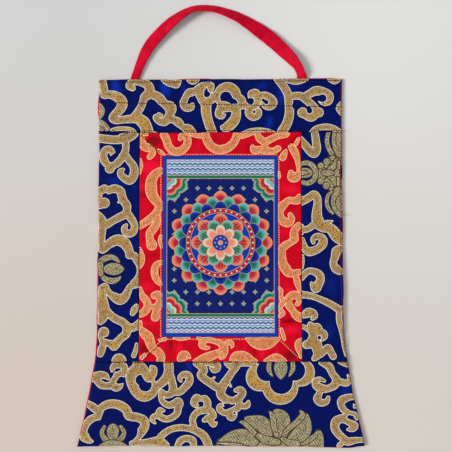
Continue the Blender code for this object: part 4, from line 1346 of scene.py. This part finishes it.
blue_cloth = Brocade("blue_brocade_satin", Specular_IOR_Level=0.05)
blue_satin = blue_cloth.woven(
    # The sheen colour is the painted highlight on the blue satin's rising folds and streaks.
    blue_cloth.satin(ground=tint(2, 16, 88), sheen=tint(8, 44, 158)),
    blue_cloth.scroll(
        outline=tint(222, 210, 178),
        threads=(
            tint(160, 130, 82),
            tint(182, 148, 86),
            (0.32, tint(208, 180, 122), 0.75),
            (0.48, tint(186, 134, 102), 0.8),
            (0.62, tint(142, 134, 106), 0.85),
            (0.76, tint(140, 102, 74), 0.8),
            (0.92, tint(70, 58, 44), 0.85),
        ),
        centre=tint(190, 142, 62),
        dulled=tint(122, 100, 84),
        dashes=0.85,
    ),
    blue_cloth.leaf(pale=tint(194, 183, 144), shade=tint(66, 60, 48), line=tint(80, 68, 46)),
)
for name, node, corners, pattern, turn in (
    ("left_blue_band", "left_band", rectangle(-HALF_BODY, -HALF_BORDER, BORDER_HEAD, BORDER_FOOT),
     (LEFT_SCROLLS, LEFT_BAYS, {}, LEFT_PETALS), 0.3),
    ("right_blue_band", "right_band", rectangle(HALF_BORDER, HALF_BODY, BORDER_HEAD, BORDER_FOOT),
     (RIGHT_SCROLLS, RIGHT_BAYS, {}, RIGHT_PETALS), 1.7),
    ("head_blue_band", "head_band", rectangle(-HALF_BODY, HALF_BODY, 0.0, BORDER_HEAD),
     (HEAD_SCROLLS, HEAD_BAYS, HEAD_CURLS, HEAD_PETALS), 2.9),
    ("foot_blue_band", "foot_band", rectangle(-HALF_BODY, HALF_BODY, BORDER_FOOT, BODY_LENGTH),
     (FOOT_SCROLLS, FOOT_BAYS, FOOT_CURLS, FOOT_PETALS), 4.4),
):
    brocade_panel(
        name, node, corners, BAND_THICK, BAND_PUCKER, turn, pattern, blue_satin
    )

# The hanging strap is a red cloth tube, pressed flat, with both of its ends sewn into the seam
# under the head band. It lies in an arch on the table above the top edge, and it turns onto its
# side towards the top.

# Its stations run from the left end: column and row on the photograph, in its pixels, width in
# metres, tilt in degrees, and 1 where it is within the seam.
STRAP_STATIONS = np.array([
    (131.8, 87.5, 0.0085, 0, 1.0),
    (134.6, 78.4, 0.0086, 0, 1.0),
    (137.0, 71.5, 0.0088, 4, 0.3),
    (140.2, 63.0, 0.0094, 8, 0.0),
    (145.8, 51.0, 0.0116, 10, 0.0),
    (152.2, 41.4, 0.0126, 14, 0.0),
    (161.2, 31.6, 0.0130, 18, 0.0),
    (170.5, 22.8, 0.0134, 28, 0.0),
    (180.5, 15.4, 0.0128, 38, 0.0),
    (191.0, 9.8, 0.0112, 46, 0.0),
    (201.5, 8.0, 0.0108, 44, 0.0),
    (212.0, 8.6, 0.0110, 43, 0.0),
    (222.0, 11.0, 0.0112, 37, 0.0),
    (236.0, 16.0, 0.0116, 26, 0.0),
    (249.0, 23.2, 0.0130, 16, 0.0),
    (260.0, 30.2, 0.0146, 6, 0.0),
    (271.0, 38.4, 0.0144, -6, 0.0),
    (281.5, 48.0, 0.0136, -10, 0.0),
    (291.0, 57.6, 0.0122, -26, 0.0),
    (297.4, 65.4, 0.0098, -40, 0.0),
    (300.8, 72.4, 0.0092, -30, 0.5),
    (302.4, 78.4, 0.0104, 0, 1.0),
    (303.4, 87.5, 0.0104, 0, 1.0),
])
STRAP_HEIGHT = 0.0040
STRAP_THICK = 0.0024
STRAP_SEWN_THICK = 0.0007
STRAP_STEPS = 9
STRAP_SIDES = 28
STRAP_FULLNESS = 0.62
STRAP_POCKET_RISE = 0.00028
STRAP_SEAT = PANEL_BASE + STRAP_POCKET_RISE

# Its folds: how deep, how fast the two gathers turn per metre along and over its width, how high
# each is, and one long valley by its depth, place and width across
STRAP_CREASE = 0.00022
STRAP_GATHERS = ((520, 2.2, 1.0), (291, -3.1, 0.7))
GATHER_SHARE = 0.55
VALLEY_DEPTH, VALLEY_AT, VALLEY_WIDE = 1.1, 0.15, 0.3


def loft(name, rings):
    """A closed tube of cloth or thread through rings of points."""
    tube = bmesh.new()
    loops = [[tube.verts.new(point) for point in ring] for ring in rings]
    for loop, following in zip(loops, loops[1:]):
        for side in range(len(loop)):
            beside = (side + 1) % len(loop)
            tube.faces.new((loop[side], loop[beside], following[beside], following[side]))
    tube.faces.new(reversed(loops[0]))
    tube.faces.new(loops[-1])
    bmesh.ops.recalc_face_normals(tube, faces=tube.faces)
    mesh = bpy.data.meshes.new(name)
    tube.to_mesh(mesh)
    tube.free()
    mesh.shade_smooth()
    made = bpy.data.objects.new(name, mesh)
    bpy.context.scene.collection.objects.link(made)
    return made


stations = STRAP_STATIONS.copy()
stations[:, :2] = [on_cloth(column, row, STRAP_HEIGHT) for column, row in STRAP_STATIONS[:, :2]]
ends = np.concatenate([stations[:1], stations, stations[-1:]])
sections = []
for n in range(len(stations) - 1):
    for step in range(STRAP_STEPS):
        share = step / STRAP_STEPS
        run = between(*ends[n : n + 4, :2], share)
        eased = smooth(share)
        shape = ends[n + 1, 2:] * (1 - eased) + ends[n + 2, 2:] * eased
        sections.append((*run, *shape))
sections.append(tuple(stations[-1]))


def squared(part):
    """A sine or cosine pushed outwards, which makes a round section into a flat tube's one."""
    return math.copysign(abs(part) ** STRAP_FULLNESS, part)


rings = []
travelled = 0.0
for n, (across, up, width, tilt, sewn) in enumerate(sections):
    ahead = np.array(sections[min(n + 1, len(sections) - 1)][:2])
    behind = np.array(sections[max(n - 1, 0)][:2])
    travelled += float(np.linalg.norm(ahead - behind)) / 2
    along = Vector((*(ahead - behind), 0)).normalized()
    inward = Vector((along.y, -along.x, 0))
    lean = math.radians(tilt)
    flat_way = inward * math.cos(lean) + Vector((0, 0, math.sin(lean)))
    thick_way = flat_way.cross(along)
    thick = STRAP_THICK + (STRAP_SEWN_THICK - STRAP_THICK) * sewn
    crease = STRAP_CREASE * (1 - sewn)
    ring = []
    for side in range(STRAP_SIDES):
        turn = 2 * math.pi * (side + 0.5) / STRAP_SIDES
        flat, proud = squared(math.cos(turn)), squared(math.sin(turn))
        gather = sum(
            high * math.sin(travelled * fast + over * flat) for fast, over, high in STRAP_GATHERS
        )
        valley = -VALLEY_DEPTH * math.exp(-(((flat - VALLEY_AT) / VALLEY_WIDE) ** 2))
        dent = crease * (GATHER_SHARE * gather + valley) * abs(proud)
        offset = proud * thick / 2 + math.copysign(dent, proud)
        point = Vector((across, up, 0)) + flat_way * (flat * width / 2)
        ring.append(point + thick_way * offset)
    lowest = min(point.z for point in ring)
    rings.append([point + Vector((0, 0, STRAP_SEAT * sewn - lowest)) for point in ring])
strap = loft("strap", rings)

STRAP_BLOT, STRAP_THREAD, STRAP_WEAVE, STRAP_RELIEF = 9.0, 0.6, 0.6, 0.00006
strap_weave = Finish("strap_cloth", Specular_IOR_Level=DULL_CLOTH)
place = strap_weave.in_mm()
blots = strap_weave.grain(place, STRAP_BLOT)
threads = strap_weave.grain(place, STRAP_THREAD, 1.0)
colour = strap_weave.blend(strap_weave.rise(blots, 0.25, 0.75), tint(182, 0, 36), tint(214, 2, 46))
colour = strap_weave.blend(threads * 0.2, colour, tint(140, 0, 24))
weave = strap_weave.weave(place, STRAP_WEAVE) + threads * 0.6
strap.data.materials.append(strap_weave.end(colour, 0.5 + threads * 0.15, weave, STRAP_RELIEF))
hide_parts("hanging_strap")
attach(strap, "root")

# Rows of machine stitching hold the panels to the backing. They run along the seams, across the
# head band and round the picture, one stitch after another, and show on the back as a second
# thread. Each row is given by places on the photograph: column and row, in its pixels.
STITCH_PITCH = 0.0025
STITCH_LENGTH = 0.0020
THREAD_WIDTH = 0.00110
THREAD_HEIGHT = 0.00055
STITCH_SINK = 0.00001
STITCH_WANDER = 0.10
STITCH_SIDES, STITCH_RINGS = 8, 5
ROW_STEP, BACK_ROW_STEP = 0.0012, 0.004
BACK_STITCH_RISE = 0.00010
ABOVE_ALL = 0.05

SEAM_ROWS = {
    "top edge": [(100, 82.2), (160, 82.0), (222, 81.8), (282, 81.2), (341, 80.4)],
    "strap row": [(99.5, 102.5), (160, 103.5), (220, 104.5), (285, 105.8), (341.5, 106.9)],
    "band foot": [(99.5, 131.3), (160, 130.9), (222, 130.6), (285, 130.5), (341.5, 130.5)],
    "band foot again": [(99.5, 133.2), (130, 133.0), (165, 132.6)],
    "left seam": [(139.4, 136), (139.6, 200), (139.4, 270), (138.9, 330), (138.6, 360)],
    "right seam": [(301.2, 136), (301.2, 200), (301.4, 270), (302.1, 330), (302.6, 360)],
    "foot seam": [(97, 362.5), (160, 362.7), (222, 362.4), (285, 362.0), (346, 361.6)],
}
FRAME_ROWS = {
    "picture left": [(161.0, 157), (161.0, 220), (160.9, 280), (160.7, 336)],
    "picture right": [(278.9, 157), (279.0, 220), (279.2, 280), (279.5, 336)],
    "picture head": [(163, 154.4), (220, 154.4), (276.5, 154.6)],
    "picture foot": [(163, 339.2), (220, 339.2), (277.5, 339.0)],
    "mitre foot right": [(281.5, 341.4), (298, 357.4)],
    "mitre foot left": [(162, 340.0), (141.5, 358.6)],
}
SIDE_ROWS = {
    "mitre head left": [(141.5, 136.0), (161, 154.0)],
    "mitre head right": [(299.5, 135.5), (279.5, 153.5)],
    "mitre foot left": [(163, 341.8), (144, 359.2)],
    "right side": [(340.9, 84), (341.0, 130), (340.6, 200), (340.7, 260), (341.6, 300), (345, 345),
        (350.5, 380)],
}

whole_front = bmesh.new()
for panel in front_panels:
    whole_front.from_mesh(panel.data)
front_surface = BVHTree.FromBMesh(whole_front)
whole_front.free()
LOOK_DOWN = Vector((0, 0, -1))


def on_front(column, row, sink=STITCH_SINK):
    """The place on the panels' faces that a pixel of the photograph shows."""
    x, y = on_cloth(column, row)
    hit = front_surface.ray_cast(Vector((x, y, ABOVE_ALL)), LOOK_DOWN)[0]
    return Vector((x, y, (hit.z if hit else FACE_HEIGHT) - sink))


def stitch_tree():
    """Nodes that set one rounded stitch after another along each line of the mesh."""
    tree = bpy.data.node_groups.new("stitches", "GeometryNodeTree")
    for name, kind in (
        ("Rows", "Geometry"),
        ("Pitch", "Float"),
        ("Stitch length", "Float"),
        ("Thread width", "Float"),
        ("Thread height", "Float"),
        ("Wander", "Float"),
        ("Seed", "Int"),
        ("Thread", "Material"),
    ):
        tree.interface.new_socket(name, in_out="INPUT", socket_type="NodeSocket" + kind)
    tree.interface.new_socket("Stitches", in_out="OUTPUT", socket_type="NodeSocketGeometry")

    def add(kind, sockets, **settings):
        """Adds a node with its settings, and feeds its inputs from values or other nodes."""
        made = tree.nodes.new(kind)
        for name, value in settings.items():
            setattr(made, name, value)
        for name, source in sockets.items():
            if isinstance(source, bpy.types.NodeSocket):
                tree.links.new(source, made.inputs[name])
            else:
                made.inputs[name].default_value = source
        return made.outputs[0]

    given = tree.nodes.new("NodeGroupInput").outputs
    line = add("GeometryNodeMeshToCurve", {"Mesh": given["Rows"]})
    spread = add(
        "GeometryNodeResampleCurve", {"Curve": line, "Length": given["Pitch"]}, mode="LENGTH"
    )
    tangent = add("GeometryNodeInputTangent", {})
    chance = add(
        "FunctionNodeRandomValue",
        {0: (-1, -1, -1), 1: (1, 1, 1), "Seed": given["Seed"]},
        data_type="FLOAT_VECTOR",
    )
    strayed = add("ShaderNodeVectorMath", {0: chance, "Scale": given["Wander"]}, operation="SCALE")
    pointed = add("ShaderNodeVectorMath", {0: tangent, 1: strayed}, operation="ADD")
    turned = add("FunctionNodeAlignRotationToVector", {"Vector": pointed}, axis="X")
    halved = [
        add("ShaderNodeMath", {0: given[name], 1: 0.5}, operation="MULTIPLY")
        for name in ("Stitch length", "Thread width", "Thread height")
    ]
    size = add("ShaderNodeCombineXYZ", dict(zip("XYZ", halved)))
    stitch = add(
        "GeometryNodeMeshUVSphere",
        {"Segments": STITCH_SIDES, "Rings": STITCH_RINGS, "Radius": 1.0},
    )
    placed = add(
        "GeometryNodeInstanceOnPoints",
        {"Points": spread, "Instance": stitch, "Rotation": turned, "Scale": size},
    )
    real = add("GeometryNodeRealizeInstances", {"Geometry": placed})
    dyed = add("GeometryNodeSetMaterial", {"Geometry": real, "Material": given["Thread"]})
    tree.links.new(dyed, tree.nodes.new("NodeGroupOutput").inputs["Stitches"])
    return tree


stitches = stitch_tree()
stitch_inputs = {
    item.name: item.identifier for item in stitches.interface.items_tree if item.in_out == "INPUT"
}


def sew(name, lines, thread, seed):
    """Sews rows of stitches along lines of places, as one mesh."""
    mesh = bpy.data.meshes.new(name)
    points, edges = [], []
    for line in lines:
        edges += [(len(points) + n, len(points) + n + 1) for n in range(len(line) - 1)]
        points += line
    mesh.from_pydata(points, edges, [])
    rows_sewn = bpy.data.objects.new(name, mesh)
    bpy.context.scene.collection.objects.link(rows_sewn)
    needle = rows_sewn.modifiers.new("stitches", "NODES")
    needle.node_group = stitches
    for socket, value in (
        ("Pitch", STITCH_PITCH),
        ("Stitch length", STITCH_LENGTH),
        ("Thread width", THREAD_WIDTH),
        ("Thread height", THREAD_HEIGHT),
        ("Wander", STITCH_WANDER),
        ("Seed", seed),
        ("Thread", thread),
    ):
        needle[stitch_inputs[socket]] = value
    depsgraph = bpy.context.evaluated_depsgraph_get()
    sewn = bpy.data.meshes.new_from_object(rows_sewn.evaluated_get(depsgraph))
    rows_sewn.modifiers.clear()
    rows_sewn.data = sewn
    sewn.name = name
    sewn.shade_smooth()
    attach(rows_sewn, "root")


TWIST_SIZE, TWIST_RELIEF = 0.25, 0.00003


def thread_finish(name, colour, dark):
    """Twisted polyester thread: a smooth line with a fine twist."""
    finish = Finish(name, Specular_IOR_Level=0.08)
    place = finish.in_mm()
    twist = finish.grain(place, TWIST_SIZE, 0.0, (1.0, 0.5, 1.0))
    tone = finish.blend(twist, tint(*colour), tint(*dark))
    return finish.end(tone, 0.45 + twist * 0.2, twist, TWIST_RELIEF)


def row_points(places, step=ROW_STEP):
    """A row's places on the cloth, close enough together to follow its waves."""
    line = []
    for (column, row), (next_column, next_row) in zip(places, places[1:]):
        length = math.hypot(next_column - column, next_row - row) * PHOTO_PIXEL
        count = max(1, round(length / step))
        for n in range(count):
            share = n / count
            line.append(
                on_front(column + (next_column - column) * share, row + (next_row - row) * share)
            )
    return line + [on_front(*places[-1])]


navy_thread = thread_finish("navy_thread", (3, 4, 12), (14, 10, 12))
gold_thread = thread_finish("gold_thread", (240, 196, 152), (196, 130, 96))
wine_thread = thread_finish("wine_thread", (120, 14, 26), (78, 10, 20))
for name, rows, thread, seed in (
    ("seam_stitches", SEAM_ROWS, navy_thread, 3),
    ("frame_stitches", FRAME_ROWS, gold_thread, 5),
    ("side_stitches", SIDE_ROWS, wine_thread, 7),
):
    sew(name, [row_points(places) for places in rows.values()], thread, seed)

back_rows = []
for places in (*SEAM_ROWS.values(), *FRAME_ROWS.values()):
    row = row_points(places, BACK_ROW_STEP)
    back_rows.append([(point.x, point.y, BACK_STITCH_RISE) for point in row])
sew("back_stitches", back_rows, wine_thread, 9)

# A few thread ends stick out where a row of stitching stops at an edge. They are the same thread,
# cut short, and some have a small knot.
THREAD_RADIUS = 0.00014
THREAD_SIDES = 6
THREAD_ARCH = 0.0005
DRAWN_IN = 0.35
THREAD_ENDS = {
    "top left knot": [(98.2, 80.6), (99.6, 81.6), (101.4, 81.0), (102.6, 82.2)],
    "top left tail": [(98.6, 82.4), (100.4, 81.2), (102.8, 80.4), (104.6, 81.2)],
    "right knot": [(341.0, 130.8), (342.4, 131.6), (344.2, 130.9), (345.0, 132.0)],
    "right tail": [(340.6, 214.0), (342.4, 215.4), (344.0, 215.0), (345.6, 216.4)],
    "right tail again": [(340.8, 214.8), (342.2, 213.8), (343.6, 214.4), (344.4, 213.4)],
}


def thread_rings(points, radius):
    """Round sections along a short thread, with its ends drawn in."""
    rings = []
    for n, point in enumerate(points):
        along = (points[min(n + 1, len(points) - 1)] - points[max(n - 1, 0)]).normalized()
        side = along.cross(Vector((0, 0, 1))).normalized()
        over = side.cross(along)
        size = radius * (DRAWN_IN if n in (0, len(points) - 1) else 1.0)
        rings.append([
            point + side * (size * math.cos(turn)) + over * (size * math.sin(turn))
            for turn in (math.pi * step / (THREAD_SIDES / 2) for step in range(THREAD_SIDES))
        ])
    return rings


for number, (name, places) in enumerate(THREAD_ENDS.items()):
    ends = np.array([places[0], *places, places[-1]], float)
    points = []
    for n in range(len(places) - 1):
        points += [between(*ends[n : n + 4], share) for share in (0.0, 0.25, 0.5, 0.75)]
    line = []
    for n, (column, row) in enumerate(points):
        spot = on_front(column, row, sink=-THREAD_RADIUS)
        spot.z += THREAD_ARCH * math.sin(math.pi * n / len(points))
        line.append(spot)
    thread_end = loft("thread_end_" + str(number + 1), thread_rings(line, THREAD_RADIUS))
    thread_end.data.materials.append(wine_thread if "right" in name else navy_thread)
    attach(thread_end, "root")

# The table is a plain pale surface with painted light on it: it is painted brighter and cooler
# towards the head end and the right, and darker and warmer towards the foot and the left. A wide
# soft lamp far off on the left, rather low, throws the faint shadows that fall to the right, and
# pale light from all round fills them in.
FLOOR_DROP = 0.0002
FLOOR_SIZE = 6.0
LAMP_PLACE = Vector((-6.4, -0.6, 4.4))
LAMP_SIZE = 2.8
LAMP_POWER = 560.0
LAMP_COLOUR = (1.0, 0.985, 0.96)
SKY_STRENGTH = 0.58
SKY_COLOUR = (0.97, 0.985, 1.0, 1.0)

# Where the table's painted light turns, in millimetres up and across, and the size of its faint
# clouds
PAINTED_LIGHT_TURNS_UP, PAINTED_LIGHT_TURNS_ACROSS = (-160.0, 260.0), (-170.0, 170.0)
TABLE_CLOUD, TABLE_RELIEF = 160.0, 0.00001

floor_mesh = bpy.data.meshes.new("floor")
half = FLOOR_SIZE / 2
floor_mesh.from_pydata(
    [(-half, -half, -FLOOR_DROP), (half, -half, -FLOOR_DROP), (half, half, -FLOOR_DROP),
     (-half, half, -FLOOR_DROP)],
    [],
    [(0, 1, 2, 3)],
)
floor = bpy.data.objects.new("floor", floor_mesh)
bpy.context.scene.collection.objects.link(floor)
pale = Finish("pale_table_painted_light", Specular_IOR_Level=0.1)
place = pale.in_mm()
cloud = pale.grain(place, TABLE_CLOUD, 1.0)
parts = pale.node("ShaderNodeSeparateXYZ", sockets={"Vector": place})
# Painted light: the table is painted brighter and cooler towards the head and the right, darker and
# warmer towards the foot and the left.
painted_light_headward = pale.rise(parts.other("Y") + cloud * 60.0, *PAINTED_LIGHT_TURNS_UP)
painted_light_rightward = pale.rise(parts, *PAINTED_LIGHT_TURNS_ACROSS)
foot_painted_light = pale.blend(painted_light_rightward, tint(203, 191, 181), tint(208, 202, 195))
head_painted_light = pale.blend(painted_light_rightward, tint(202, 202, 202), tint(220, 220, 218))
table_with_painted_light = pale.blend(painted_light_headward, foot_painted_light, head_painted_light)
floor_mesh.materials.append(pale.end(table_with_painted_light, 0.8, cloud, TABLE_RELIEF))

lamp_light = bpy.data.lights.new("lamp", "AREA")
lamp_light.shape = "DISK"
lamp_light.size = LAMP_SIZE
lamp_light.energy = LAMP_POWER
lamp_light.color = LAMP_COLOUR
lamp = bpy.data.objects.new("lamp", lamp_light)
lamp.location = LAMP_PLACE
lamp.rotation_euler = (-LAMP_PLACE).to_track_quat("-Z", "Y").to_euler()
bpy.context.scene.collection.objects.link(lamp)

sky = bpy.data.worlds.new("sky")
sky.use_nodes = True
background = sky.node_tree.nodes["Background"]
background.inputs["Color"].default_value = SKY_COLOUR
background.inputs["Strength"].default_value = SKY_STRENGTH
bpy.context.scene.world = sky

# The camera looks down from nearly straight above. Its values stand with the red border, which is
# the first to need them.
lens = bpy.data.cameras.new("camera")
lens.lens = CAMERA_LENS
lens.sensor_width = CAMERA_SENSOR
camera = bpy.data.objects.new("camera", lens)
camera.location = CAMERA_PLACE
camera.rotation_euler = (CAMERA_TILT, 0, 0)
bpy.context.scene.collection.objects.link(camera)
bpy.context.scene.camera = camera
bpy.context.scene.view_settings.view_transform = "Standard"
